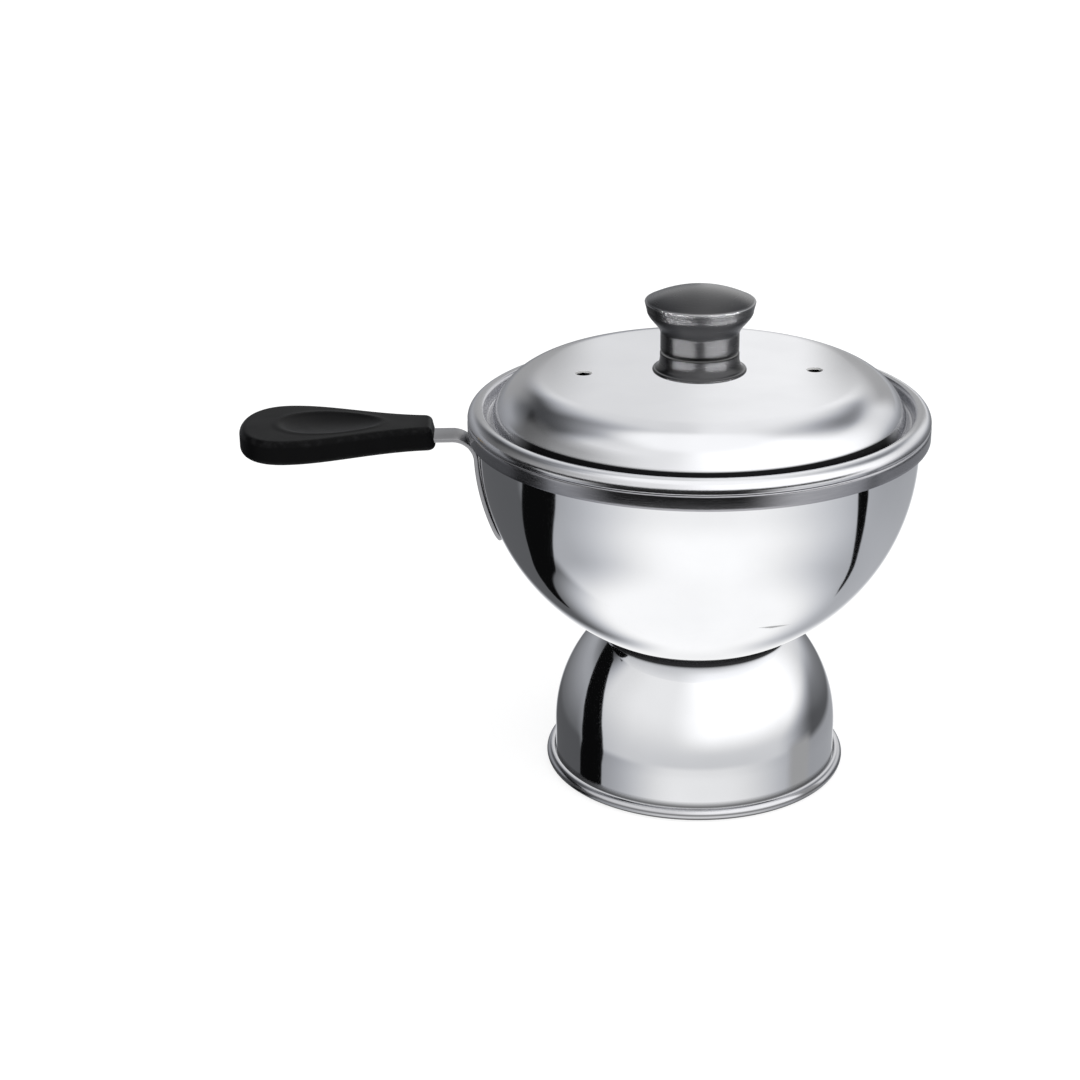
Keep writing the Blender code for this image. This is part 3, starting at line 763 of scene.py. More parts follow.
class Lathe:
    """Turns sections round an upright axis with one Geometry Nodes tree."""

    def __init__(self) -> None:
        """Builds the tree."""
        self.tree = new_tree(
            "turned_section", {"Section": "Geometry", "Steps": "Int", "Axis X": "Float", "Finish": "Material"}
        )
        self._wire(Graph(self.tree))

    def _wire(self, graph: Graph) -> None:
        """Lays the section's points out as a grid, turns each column and closes the seam.

        Args:
            graph: the tree's nodes.
        """
        given = graph.node("NodeGroupInput").outputs
        count = graph.node("GeometryNodeAttributeDomainSize", {0: given["Section"]}).outputs["Point Count"]
        columns = graph.plus(given["Steps"], 1.0)
        grid = graph.node("GeometryNodeMeshGrid", {"Vertices X": columns, "Vertices Y": count}).outputs["Mesh"]
        index = graph.out("GeometryNodeInputIndex")
        row = graph.math("FLOORED_MODULO", index, count)
        column = graph.math("FLOOR", graph.math("DIVIDE", graph.plus(index, 0.25), count))
        angle = graph.times(graph.math("DIVIDE", column, given["Steps"]), math.tau)

        def sampled(value: Socket, kind: str) -> Socket:
            """A value at the section's point that a point of the grid stands for, by its data type."""
            inputs = {"Geometry": given["Section"], "Value": value, "Index": row}
            return graph.out("GeometryNodeSampleIndex", inputs, data_type=kind)

        place = sampled(graph.out("GeometryNodeInputPosition"), "FLOAT_VECTOR")
        turned = graph.out("ShaderNodeVectorRotate", {"Vector": place, "Angle": angle}, rotation_type="Z_AXIS")
        offset = graph.vector(given["Axis X"], 0.0, 0.0)
        placed = graph.out("ShaderNodeVectorMath", {0: turned, 1: offset}, operation="ADD")
        shape = graph.out("GeometryNodeSetPosition", {"Geometry": grid, "Position": placed})
        # Carries the satin share and the painted shade share from the section to every point.
        for tone in ("satin", "painted_shade"):
            kept = graph.out("GeometryNodeInputNamedAttribute", {"Name": tone}, data_type="FLOAT")
            inputs = {"Geometry": shape, "Name": tone, "Value": sampled(kept, "FLOAT")}
            shape = graph.out("GeometryNodeStoreNamedAttribute", inputs, data_type="FLOAT", domain="POINT")
        shape = graph.out("GeometryNodeMergeByDistance", {"Geometry": shape, "Distance": WELD})
        shape = graph.out("GeometryNodeRealizeInstances", {"Geometry": shape})
        shape = graph.out("GeometryNodeSetMaterial", {"Geometry": shape, "Material": given["Finish"]})
        graph.node("NodeGroupOutput", {0: shape})

    def turn(
        self,
        name: str,
        section: Sequence[Point],
        finish: Material,
        steps: int,
        tone: Callable[[float, float], Tone] = bare_tone,
        closed: bool = True,
        axis_x: float = AXIS_X,
    ) -> Piece:
        """Turns a section into a plain mesh.

        Args:
            name: the piece's name.
            section: points (radius, height).
            finish: its material.
            steps: facets round the axis.
            tone: satin and painted shade at a point of the section.
            closed: whether the section's last point meets its first.
            axis_x: where the axis stands.

        Returns:
            The new object.
        """
        points = list(section) + ([section[0]] if closed else [])
        mesh = bpy.data.meshes.new(name)
        mesh.from_pydata([(r, 0.0, z) for r, z in points], [(i, i + 1) for i in range(len(points) - 1)], [])
        tones = [tone(r, z) for r, z in points]
        for number, label in enumerate(("satin", "painted_shade")):
            mesh.attributes.new(label, "FLOAT", "POINT").data.foreach_set("value", [t[number] for t in tones])
        return grow(new_object(name, mesh), self.tree, {"Steps": steps, "Axis X": axis_x, "Finish": finish})


def cylinder(name: str, radius: float, bottom: float, top: float, x: float) -> Piece:
    """Makes a cutter: an upright cylinder between two heights.

    Args:
        name: its name.
        radius: its radius.
        bottom: height of its lower end.
        top: height of its upper end.
        x: where its axis stands.

    Returns:
        The cutter.
    """
    shape = bmesh.new()
    bmesh.ops.create_cone(
        shape, cap_ends=True, segments=CUTTER_SIDES, radius1=radius, radius2=radius, depth=top - bottom
    )
    bmesh.ops.translate(shape, verts=shape.verts, vec=(x, 0.0, (top + bottom) / 2.0))
    return solid(name, shape)


def block(name: str, low: Place, high: Place) -> Piece:
    """Makes a cutter: a box between two corners.

    Args:
        name: its name.
        low: its lower corner.
        high: its upper corner.

    Returns:
        The cutter.
    """
    shape = bmesh.new()
    bmesh.ops.create_cube(shape, size=1.0)
    bmesh.ops.scale(shape, verts=shape.verts, vec=[b - a for a, b in zip(low, high)])
    bmesh.ops.translate(shape, verts=shape.verts, vec=[(a + b) / 2.0 for a, b in zip(low, high)])
    return solid(name, shape)


def cross(name: str, x: float, low: float, high: float, reach: float, half: float) -> list[Piece]:
    """Makes the cutters of a screw's cross recess.

    Args:
        name: what their names start with.
        x: where the screw stands.
        low: height of their lower ends.
        high: height of the recess's floor.
        reach: half the recess's length.
        half: half its width.

    Returns:
        The two cutters.
    """
    return [
        block(f"{name}_{side}", (x - long, -wide, low), (x + long, wide, high))
        for side, long, wide in (("along", reach, half), ("across", half, reach))
    ]


def cut(piece: Piece, *cutters: Piece) -> None:
    """Cuts a piece, keeps the result as a plain mesh and removes the cutters.

    Args:
        piece: the object that is cut.
        cutters: what cuts it.
    """
    for cutter in cutters:
        modifier = piece.modifiers.new(cutter.name, "BOOLEAN")
        modifier.operation = "DIFFERENCE"
        modifier.solver = "EXACT"
        modifier.object = cutter
    settle(piece)
    for cutter in cutters:
        bpy.data.objects.remove(cutter, do_unlink=True)
    outward(piece)


def knurl(piece: Piece, axis_x: float, radius: float, depth: float, teeth: int) -> None:
    """Presses upright teeth into a turned piece's outer face.

    Args:
        piece: the object.
        axis_x: where its axis stands.
        radius: radius of the face.
        depth: depth between the teeth.
        teeth: their number.
    """
    for vertex in piece.data.vertices:
        x, y = vertex.co.x - axis_x, vertex.co.y
        reach = math.hypot(x, y)
        if reach > radius - 0.5 * depth:
            wave = 0.5 - 0.5 * math.cos(math.atan2(y, x) * teeth)
            vertex.co.x = axis_x + x * (1.0 - depth * wave / reach)
            vertex.co.y = y * (1.0 - depth * wave / reach)
    outward(piece, 25.0)


@dataclass
class Vessel:
    """The bowl with its turned-down rim band, and the cup under it with its rolled foot."""

    rim_r: float = 0.070
    rim_top_z: float = 0.1139
    band_height: float = 0.0044
    bend_r: float = 0.0002
    bowl_sheet: float = 0.0008
    bowl_r: float = 0.0668
    bowl_centre_z: float = 0.1054
    bowl_corner_r: float = 0.003
    base_sheet: float = 0.00075
    base_r: float = 0.0443
    base_dome_z: float = 0.0125
    base_top_z: float = 0.0452
    base_corner_r: float = 0.002
    curl_r: float = 0.0018
    curl_turn: float = 285.0
    steam_hole_r: float = 0.008
    steps: int = 224

    def bowl_section(self) -> list[Point]:
        """Draws the bowl's sheet, from the band's hem over the rim and down to the steam hole.

        Returns:
            The closed section.
        """
        band_r = self.rim_r - self.bowl_sheet
        under = self.rim_top_z - self.bowl_sheet
        face = [(band_r, self.rim_top_z - self.band_height)]
        face += run(face[0], (band_r, under - self.bend_r), 6)
        face += arc((band_r - self.bend_r, under - self.bend_r), self.bend_r, 0.0, 90.0, 6)[1:]
        face += arc((self.bowl_r + self.bend_r, under - self.bend_r), self.bend_r, 90.0, 180.0, 6)
        face += run(face[-1], (self.bowl_r, self.bowl_centre_z), 5)
        corner_z = self.base_top_z + CLEARANCE + self.bowl_corner_r
        corner_r = math.sqrt((self.bowl_r - self.bowl_corner_r) ** 2 - (self.bowl_centre_z - corner_z) ** 2)
        turn = -math.degrees(math.atan2(self.bowl_centre_z - corner_z, corner_r))
        face += arc((0.0, self.bowl_centre_z), self.bowl_r, 0.0, turn, 64)[1:]
        face += arc((corner_r, corner_z), self.bowl_corner_r, turn, -90.0, 10)[1:]
        face += run(face[-1], (self.steam_hole_r, self.base_top_z + CLEARANCE), 5)
        return thicken(face, -self.bowl_sheet)

    def bowl_tone(self, radius: float, height: float) -> Tone:
        """Satin band outside, mirror elsewhere, painted shade under the band and in the crease at the neck.

        Args:
            radius: the point's distance from the axis.
            height: its height.

        Returns:
            Satin and painted shade.
        """
        band = ramp(radius, self.rim_r - 0.0011, self.rim_r - 0.0008)
        inner = math.hypot(radius, height - self.bowl_centre_z) < self.bowl_r - 0.6 * self.bowl_sheet
        satin = max(band, 0.35 if inner and radius < self.rim_r - 0.003 else 0.0)
        # Painted shade under the rim band and in the crease where the bowl meets the cup.
        below_brim = self.bowl_r < radius < self.rim_r - 0.0006 and height < self.rim_top_z - 0.0006
        crease = 0.0 if inner else ramp(self.base_top_z + 0.0024 - height, 0.0, 0.0005)
        return satin, max(0.7 if below_brim else 0.0, 0.97 * crease)

    def base_section(self) -> list[Point]:
        """Draws the cup's sheet, from the steam hole over the dome and down into the rolled foot.

        Returns:
            The closed section.
        """
        corner_z = self.base_top_z - self.base_corner_r
        corner_r = math.sqrt((self.base_r - self.base_corner_r) ** 2 - (corner_z - self.base_dome_z) ** 2)
        turn = math.degrees(math.atan2(corner_z - self.base_dome_z, corner_r))
        inner = self.curl_r - self.base_sheet
        face = [(self.steam_hole_r, self.base_top_z)]
        face += run(face[0], (corner_r, self.base_top_z), 5)
        face += arc((corner_r, corner_z), self.base_corner_r, 90.0, turn, 8)[1:]
        face += arc((0.0, self.base_dome_z), self.base_r, turn, 0.0, 56)[1:]
        face += run(face[-1], (self.base_r, self.curl_r), 6)
        face += arc((self.base_r + inner, self.curl_r), inner, 180.0, 180.0 + self.curl_turn, 36)[1:]
        return thicken(face, -self.base_sheet)

    def base_tone(self, radius: float, height: float) -> Tone:
        """Painted shade in the crease above the rolled foot, in a line round it and under it, and a duller roll.

        Args:
            radius: the point's distance from the axis.
            height: its height.

        Returns:
            Satin and painted shade.
        """
        # Painted shade: crease, a dark line round the roll, and contact shade under it.
        crease = near(radius, self.base_r, 0.0008) * near(height, 0.0033, 0.0011)
        roll = ramp(radius, self.base_r + 0.0002, self.base_r + 0.0006)
        line = 0.7 * roll * near(height, 0.0022, 0.0005)
        under = 0.85 * ramp(self.curl_r * 0.8 - height, 0.0, 0.0006)
        return 0.55 * roll, max(0.95 * crease, line, under)

    def build(self, lathe: Lathe, finishes: Finishes) -> list[Piece]:
        """Builds both pieces.

        Args:
            lathe: turns the sections.
            finishes: the materials.

        Returns:
            The bowl and the cup.
        """
        bowl = lathe.turn("bowl", self.bowl_section(), finishes.vessel, self.steps, self.bowl_tone)
        cup = lathe.turn("cup", self.base_section(), finishes.cup, self.steps, self.base_tone)
        cup.visible_glossy = False
        return [
            finished(bowl, Body.PAN, Slot.POLISHED, "bowl_shell"),
            finished(cup, Body.PAN, Slot.POLISHED, "base_cup"),
        ]


@dataclass
class Lid:
    """The pressed lid: almost flat crown, knuckle, groove, crest and brim, with two vents."""

    apex_z: float = 0.1277
    sheet: float = 0.0007
    crown_r: float = 6.0
    knuckle_r: float = 0.0168
    dome_r: float = 0.0632
    groove_r: float = 0.0009
    groove_z: float = 0.1135
    crest_r: float = 0.0663
    crest_z: float = 0.1177
    crest_bend_r: float = 0.0015
    brim_r: float = 0.0037
    brim_end_z: float = 0.1142
    hole_r: float = 0.0024
    vent_r: float = 0.0025
    vent_pitch_r: float = 0.0348
    vent_cut: Pair = (-0.005, 0.003)
    steps: int = 224

    def section(self) -> list[Point]:
        """Draws the lid's sheet, from the screw's hole out to the brim's edge.

        Returns:
            The closed section.
        """
        knuckle = self.dome_r - self.knuckle_r
        crown_z = self.apex_z - self.crown_r
        rise = math.sqrt((self.crown_r - self.knuckle_r) ** 2 - knuckle ** 2)
        turn = math.degrees(math.atan2(rise, knuckle))
        hole = math.degrees(math.acos(self.hole_r / self.crown_r))
        groove_z = self.groove_z + self.groove_r
        foot = math.degrees(math.asin((groove_z - crown_z - rise) / self.knuckle_r))
        groove = knuckle + self.knuckle_r * math.cos(math.radians(foot)) + self.groove_r
        face = arc((0.0, crown_z), self.crown_r, hole, turn, 24)
        face += arc((knuckle, crown_z + rise), self.knuckle_r, turn, foot, 48)[1:]
        face += arc((groove, groove_z), self.groove_r, 180.0, 345.0, 14)[1:]
        face += arc((self.crest_r, self.crest_z - self.crest_bend_r), self.crest_bend_r, 165.0, 90.0, 12)
        face += arc((self.crest_r, self.crest_z - self.brim_r), self.brim_r, 90.0, 10.0, 20)[1:]
        face.append((face[-1][0], self.brim_end_z))
        return thicken(face, -self.sheet)

    def tone(self, radius: float, height: float) -> Tone:
        """Painted shade at the dome's foot, satin in the groove and at the brim's edge.

        Args:
            radius: the point's distance from the axis.
            height: its height.

        Returns:
            Satin and painted shade.
        """
        # Painted shade: a dark line round the foot of the dome.
        painted_shade = 1.5 * ramp(radius, self.dome_r - 0.0030, self.dome_r - 0.0022)
        painted_shade *= ramp(self.dome_r + 0.0003 - radius, 0.0, 0.0003)
        painted_shade *= ramp(self.crest_z + 0.0003 - height, 0.0, 0.0003)
        groove = ramp(radius, self.dome_r + 0.0001, self.dome_r + 0.0005)
        groove *= ramp(self.crest_r - 0.0004 - radius, 0.0, 0.0004)
        brim = 0.55 * ramp(radius, self.crest_r + 0.0022, self.crest_r + 0.0034)
        return max(brim, groove), min(1.0, painted_shade)

    def build(self, lathe: Lathe, finishes: Finishes) -> Piece:
        """Turns the lid and cuts its vents.

        Args:
            lathe: turns the section.
            finishes: the materials.

        Returns:
            The lid.
        """
        piece = lathe.turn("lid", self.section(), finishes.lid, self.steps, self.tone)
        low, high = (self.apex_z + depth for depth in self.vent_cut)
        vents = [
            cylinder(name, self.vent_r, low, high, AXIS_X + side * self.vent_pitch_r)
            for name, side in (("vent_by_handle", -1.0), ("vent_away", 1.0))
        ]
        cut(piece, *vents)
        return finished(piece, Body.LID, Slot.POLISHED, "lid_shell")


@dataclass
class Knob:
    """The turned knob on its flared collar, with insert, washer and screw. Heights are above the foot."""

    foot_z: float = 0.1280
    collar_foot_r: float = 0.0142
    collar_foot_height: float = 0.0010
    collar_flare_top: float = 0.0046
    collar_neck_r: float = 0.01195
    collar_height: float = 0.0059
    collar_ease: float = 0.00022
    groove_r: float = 0.0114
    groove_height: float = 0.0005
    neck_r: float = 0.01186
    neck_top: float = 0.0118
    neck_ease: float = 0.0002
    shoulder_r: float = 0.0160
    shoulder_top: float = 0.019
    shoulder_steps: int = 28
    edge_r: float = 0.0166
    edge_top: float = 0.0216
    height: float = 0.0257
    edge_round: float = 0.0004
    insert_r: float = 0.004
    insert_bore_r: float = 0.0023
    insert_length: float = 0.011
    insert_ease: float = 0.0003
    insert_thread: float = 0.0002
    insert_teeth: tuple[float, int] = (0.00025, 24)
    screw_r: float = 0.002
    screw_thread: float = 0.00028
    screw_head_r: float = 0.004
    screw_head_height: float = 0.002
    screw_reach: float = 0.0145
    recess_depth: float = 0.0011
    recess_reach: float = 0.0023
    washer_r: float = 0.0055
    washer_bore_r: float = 0.0024
    washer_sheet: float = 0.0008
    washer_ease: float = 0.00015
    thread_pitch: float = 0.0007
    steps: int = 160

    def collar_section(self) -> list[Point]:
        """Draws the flared collar.

        Returns:
            The closed section.
        """
        foot, ease = self.foot_z, self.collar_ease
        top, flare_z = foot + self.collar_height, foot + self.collar_flare_top
        half = self.collar_foot_height / 2.0
        points = [(Lid.hole_r, top), (self.collar_neck_r - ease, top)]
        points += arc((self.collar_neck_r - ease, top - ease), ease, 90.0, 0.0, 5)[1:]
        points += run(points[-1], (self.collar_neck_r, flare_z), 4)
        toe_r = self.collar_foot_r - half
        across, down = toe_r - self.collar_neck_r, self.collar_flare_top - self.collar_foot_height
        flare = arc((0.0, 0.0), 1.0, 180.0, 270.0, 18)[1:]
        points += [(toe_r + across * c, flare_z + down * s) for c, s in flare]
        points += arc((toe_r, foot + half), half, 90.0, -90.0, 14)[1:]
        points.append((Lid.hole_r, foot))
        return points

    def knob_section(self) -> list[Point]:
        """Draws the knob from its top's centre down, with the pocket for the insert.

        Returns:
            The open section.
        """
        foot, ease = self.foot_z, self.neck_ease
        bottom = foot + self.collar_height + CLEARANCE
        pocket_r = self.insert_r + CLEARANCE
        pocket_top = bottom + self.insert_length + CLEARANCE
        rise = self.height - self.edge_top
        crown_r = (self.edge_r ** 2 + rise ** 2) / (2.0 * rise)
        lean = math.degrees(math.asin((self.edge_r - self.edge_round * 0.5) / crown_r))
        points = arc((0.0, foot + self.height - crown_r), crown_r, 90.0, 90.0 - lean, 28)
        round_z = foot + self.edge_top - self.edge_round * 0.5
        points += arc((self.edge_r - self.edge_round, round_z), self.edge_round, 62.0, 0.0, 6)
        under = (self.shoulder_r, foot + self.shoulder_top)
        points += run(points[-1], under, 6)
        neck_top = foot + self.neck_top
        for index in range(1, self.shoulder_steps + 1):
            share = 1.0 - index / self.shoulder_steps
            radius = self.neck_r + (self.shoulder_r - self.neck_r) * ramp(share, 0.0, 1.0)
            points.append((radius, neck_top + (under[1] - neck_top) * share))
        groove_top = bottom + self.groove_height
        points += run(points[-1], (self.neck_r, groove_top + ease), 4)
        points += arc((self.neck_r - ease, groove_top + ease), ease, 0.0, -90.0, 4)[1:]
        points += [(self.groove_r, groove_top), (self.groove_r, bottom)]
        return points + [(pocket_r, bottom), (pocket_r, pocket_top), (0.0, pocket_top)]

    def knob_tone(self, radius: float, height: float) -> Tone:
        """A painted highlight on the cap's edge, painted shade in the groove above the collar.

        Args:
            radius: the point's distance from the axis.
            height: its height.

        Returns:
            Painted highlight and painted shade.
        """
        edge_highlight = near(height, self.foot_z + self.edge_top, 0.0005)
        edge_highlight *= ramp(radius, self.edge_r - 0.0008, self.edge_r - 0.0002)
        groove = ramp(self.foot_z + self.collar_height + 0.0013 - height, 0.0, 0.0003)
        return 0.5 * edge_highlight, groove * ramp(radius, self.groove_r - 0.0004, self.groove_r)

    def collar_tone(self, radius: float, height: float) -> Tone:
        """Painted shade on the collar's top, in the groove under the knob."""
        top = self.foot_z + self.collar_height
        return 0.0, ramp(height, top - 0.0003, top - 0.0001)

    def screw_section(self, seat: float) -> list[Point]:
        """Draws the pan-head screw, its tip up.

        Args:
            seat: height of its head's upper face.

        Returns:
            The open section.
        """
        tip, head = self.foot_z + self.screw_reach, self.screw_head_height
        chamfer = self.screw_r / 4.0
        points = [(0.0, tip), (self.screw_r - chamfer, tip)]
        points += thread(seat + 0.0015, tip - chamfer, self.screw_r, self.screw_thread, self.thread_pitch)
        points += [(self.screw_r, seat), (self.screw_head_r - 0.0002, seat), (self.screw_head_r, seat - 0.0002)]
        dome = arc((0.0, 0.0), 1.0, 0.0, 90.0, 10)[:-1]
        points += [(self.screw_head_r * c, seat - 0.35 * head - 0.65 * head * s) for c, s in dome]
        return points + [(0.0, seat - head)]

    def build(self, lathe: Lathe, finishes: Finishes) -> list[Piece]:
        """Builds knob, collar, insert, washer and screw.

        Args:
            lathe: turns the sections.
            finishes: the materials.

        Returns:
            The five pieces.
        """
        knob = lathe.turn("knob", self.knob_section(), finishes.coat, self.steps, self.knob_tone, closed=False)
        collar = lathe.turn("collar", self.collar_section(), finishes.coat, self.steps, self.collar_tone)
        bottom = self.foot_z + self.collar_height + CLEARANCE
        top = bottom + self.insert_length
        wide, slim, ease = self.insert_r, self.insert_r - self.insert_ease, self.insert_ease
        outer = [(slim, top), (wide, top - ease), (wide, bottom + ease), (slim, bottom)]
        bore = thread(bottom, top, self.insert_bore_r, -self.insert_thread, self.thread_pitch)[::-1]
        insert = lathe.turn("knob_bush", outer + bore, finishes.brass, 48)
        knurl(insert, AXIS_X, self.insert_r, *self.insert_teeth)
        seat = self.foot_z - CLEARANCE - Lid.sheet - CLEARANCE
        low, soft = seat - self.washer_sheet, self.washer_ease
        ring = [
            (self.washer_bore_r, seat), (self.washer_r - soft, seat), (self.washer_r, seat - soft),
            (self.washer_r, low + soft), (self.washer_r - soft, low), (self.washer_bore_r, low),
        ]
        washer = lathe.turn("washer", ring, finishes.strip, 96)
        screw = lathe.turn("knob_fixing", self.screw_section(low - CLEARANCE), finishes.strip, 64, closed=False)
        head = low - CLEARANCE - self.screw_head_height
        reach = self.recess_reach
        cut(screw, *cross("recess", AXIS_X, head - 0.001, head + self.recess_depth, reach, reach * 0.17))
        for piece in (knob, collar, insert, washer, screw):
            piece.visible_glossy = False
        return [
            finished(knob, Body.LID, Slot.KNOB, "lid_knob"),
            finished(collar, Body.LID, Slot.KNOB, "knob_collar"),
            finished(insert, Body.LID, Slot.BRASS, "knob_insert"),
            finished(washer, Body.LID, Slot.SATIN, "knob_washer"),
            finished(screw, Body.LID, Slot.SATIN, "knob_screw"),
        ]


@dataclass
class SteamPlate:
    """The loose perforated plate whose rim follows the bowl's wall. Its rings are (radius, holes)."""

    sheet: float = 0.0007
    z: float = 0.052
    rim_r: float = 0.04147
    hole_r: float = 0.0014
    hole_sides: int = 24
    drill_length: float = 0.006
    centre_hole_r: float = 0.003
    rings: tuple[tuple[float, int], ...] = ((0.0095, 6), (0.0175, 12), (0.0255, 16))
    steps: int = 192

    def section(self) -> list[Point]:
        """Draws the plate's sheet along its underside, from the middle hole to the rim.

        Returns:
            The closed section.
        """
        wall = Vessel.bowl_r - Vessel.bowl_sheet - CLEARANCE
        flat_r = math.sqrt(wall ** 2 - (Vessel.bowl_centre_z - self.z) ** 2)
        start = -math.degrees(math.acos(flat_r / wall))
        end = -math.degrees(math.acos(self.rim_r / wall))
        face = [(self.centre_hole_r, self.z)]
        face += run(face[0], (flat_r - 0.0006, self.z), 12)
        face += arc((0.0, Vessel.bowl_centre_z), wall, start + 0.6, end, 10)
        return thicken(face, self.sheet)

    def perforations(self) -> bpy.types.GeometryNodeTree:
        """Makes a tree that drills rings of holes through what it is given.

        Returns:
            The tree, its sockets named for the rings.
        """
        inputs = {
            "Plate": "Geometry", "Hole radius": "Float", "Height": "Float", "Axis X": "Float", "Finish": "Material",
        }
        for number in range(len(self.rings)):
            inputs |= {f"Ring {number} radius": "Float", f"Ring {number} holes": "Int"}
        tree = new_tree("perforations", inputs)
        graph = Graph(tree)
        given = graph.node("NodeGroupInput").outputs
        sizes = {"Vertices": self.hole_sides, "Radius": given["Hole radius"], "Depth": self.drill_length}
        drill = graph.out("GeometryNodeMeshCylinder", sizes)
        middle = graph.vector(given["Axis X"], 0.0, given["Height"])
        gathered = graph.node("GeometryNodeJoinGeometry")
        for number in range(len(self.rings)):
            sizes = {"Vertices": given[f"Ring {number} holes"], "Radius": given[f"Ring {number} radius"]}
            ring = graph.out("GeometryNodeMeshCircle", sizes)
            moved = graph.out("GeometryNodeTransform", {"Geometry": ring, "Translation": middle})
            drills = graph.out("GeometryNodeInstanceOnPoints", {"Points": moved, "Instance": drill})
            tree.links.new(drills, gathered.inputs[0])
        cutters = graph.out("GeometryNodeRealizeInstances", {0: gathered.outputs[0]})
        plate = {0: given["Plate"], 1: cutters}
        bored = graph.out("GeometryNodeMeshBoolean", plate, operation="DIFFERENCE", solver="EXACT")
        real = graph.out("GeometryNodeRealizeInstances", {0: bored})
        dressed = graph.out("GeometryNodeSetMaterial", {"Geometry": real, "Material": given["Finish"]})
        graph.node("NodeGroupOutput", {0: dressed})
        return tree

    def build(self, lathe: Lathe, finishes: Finishes) -> Piece:
        """Turns the plate and drills it.

        Args:
            lathe: turns the section.
            finishes: the materials.

        Returns:
            The plate.
        """
        piece = lathe.turn("perforated_plate", self.section(), finishes.plate, self.steps)
        values: dict[str, object] = {
            "Hole radius": self.hole_r, "Height": self.z, "Axis X": AXIS_X, "Finish": finishes.plate,
        }
        for number, (radius, count) in enumerate(self.rings):
            values |= {f"Ring {number} radius": radius, f"Ring {number} holes": count}
        grow(piece, self.perforations(), values)
        return finished(piece, Body.PLATE, Slot.SATIN, "steam_plate")


@dataclass
class Strap:
    """The bent steel strap that carries the grip, its end flat on the bowl's wall. X is from the bowl's axis."""

    width: float = 0.0106
    sheet: float = 0.0012
    bend_r: float = 0.007
    leg_angle: float = 27.0
    tang: float = 0.0315
    top_z: float = 0.1095
    grip_near_x: float = -0.0805
    screw_x: float = -0.0900
    screw_r: float = 0.0015
    edge_round: float = 0.00028
    end_steps: int = 14

    def stations(self) -> list[Place]:
        """Follows the strap's middle line, from inside the grip to the lower end.

        Returns:
            Stations as (x from the bowl's axis, z, half width).
        """
        middle = self.top_z - CLEARANCE - self.sheet / 2.0
        leg_r = Vessel.bowl_r + CLEARANCE + self.sheet / 2.0
        centre = (0.0, Vessel.bowl_centre_z)
        drop = centre[1] - (middle - self.bend_r)
        bend_x = math.sqrt((leg_r + self.bend_r) ** 2 - drop ** 2)
        turn = math.degrees(math.asin(drop / (leg_r + self.bend_r)))
        half = self.width / 2.0
        start = self.grip_near_x - self.tang
        line = [(start, middle, half)]
        line += [(x, z, half) for x, z in run((start, middle), (-bend_x, middle), 16)]
        bend = arc((bend_x, middle - self.bend_r), self.bend_r, 90.0, 180.0 - turn, 22)[1:]
        round_start = self.leg_angle - math.degrees(half / leg_r)
        line += [(-r, z, half) for r, z in bend + arc(centre, leg_r, -turn, -round_start, 24)[1:]]
        for index in range(1, self.end_steps + 1):
            share = math.radians(86.0 * index / self.end_steps)
            angle = -round_start - math.degrees(half * math.sin(share) / leg_r)
            r, z = arc(centre, leg_r, angle, angle, 1)[0]
            line.append((-r, z, half * math.cos(share)))
        return line

    def ring(self, before: Place, here: Place, after: Place) -> list[Vector]:
        """Places the strap's rounded section at a station.

        Args:
            before: the station before it.
            here: the station.
            after: the station after it.

        Returns:
            The section's points round the strap.
        """
        x, z, half = here
        along = Vector((after[0] - before[0], 0.0, after[1] - before[1])).normalized()
        up = Vector((0.0, 1.0, 0.0)).cross(along) * -1.0
        soft = min(self.edge_round, half * 0.6)
        made = []
        for corner, (side, level) in enumerate(((1, 1), (-1, 1), (-1, -1), (1, -1))):
            for part in range(4):
                turn = math.radians(90.0 * corner + 30.0 * part)
                y = side * (half - soft) + soft * math.cos(turn)
                rise = level * (self.sheet / 2.0 - soft) + soft * math.sin(turn)
                made.append(Vector((AXIS_X + x, y, z)) + up * rise)
        return made

    def build(self, finishes: Finishes) -> Piece:
        """Lofts the strap along its line and bores the screw's hole.

        Args:
            finishes: the materials.

        Returns:
            The strap.
        """
        line = self.stations()
        shape = bmesh.new()
        rows = [
            [shape.verts.new(spot) for spot in self.ring(*places)]
            for places in zip(line[:1] + line[:-1], line, line[1:] + line[-1:])
        ]
        join_rows(shape, rows)
        shape.faces.new(rows[0])
        shape.faces.new(rows[-1])
        piece = outward(solid("strap", shape, finishes.strip))
        bore_r, bore_x = self.screw_r + CLEARANCE, AXIS_X + self.screw_x
        cut(piece, cylinder("strap_hole", bore_r, self.top_z - 0.004, self.top_z + 0.001, bore_x))
        return finished(piece, Body.PAN, Slot.SATIN, "handle_strap")


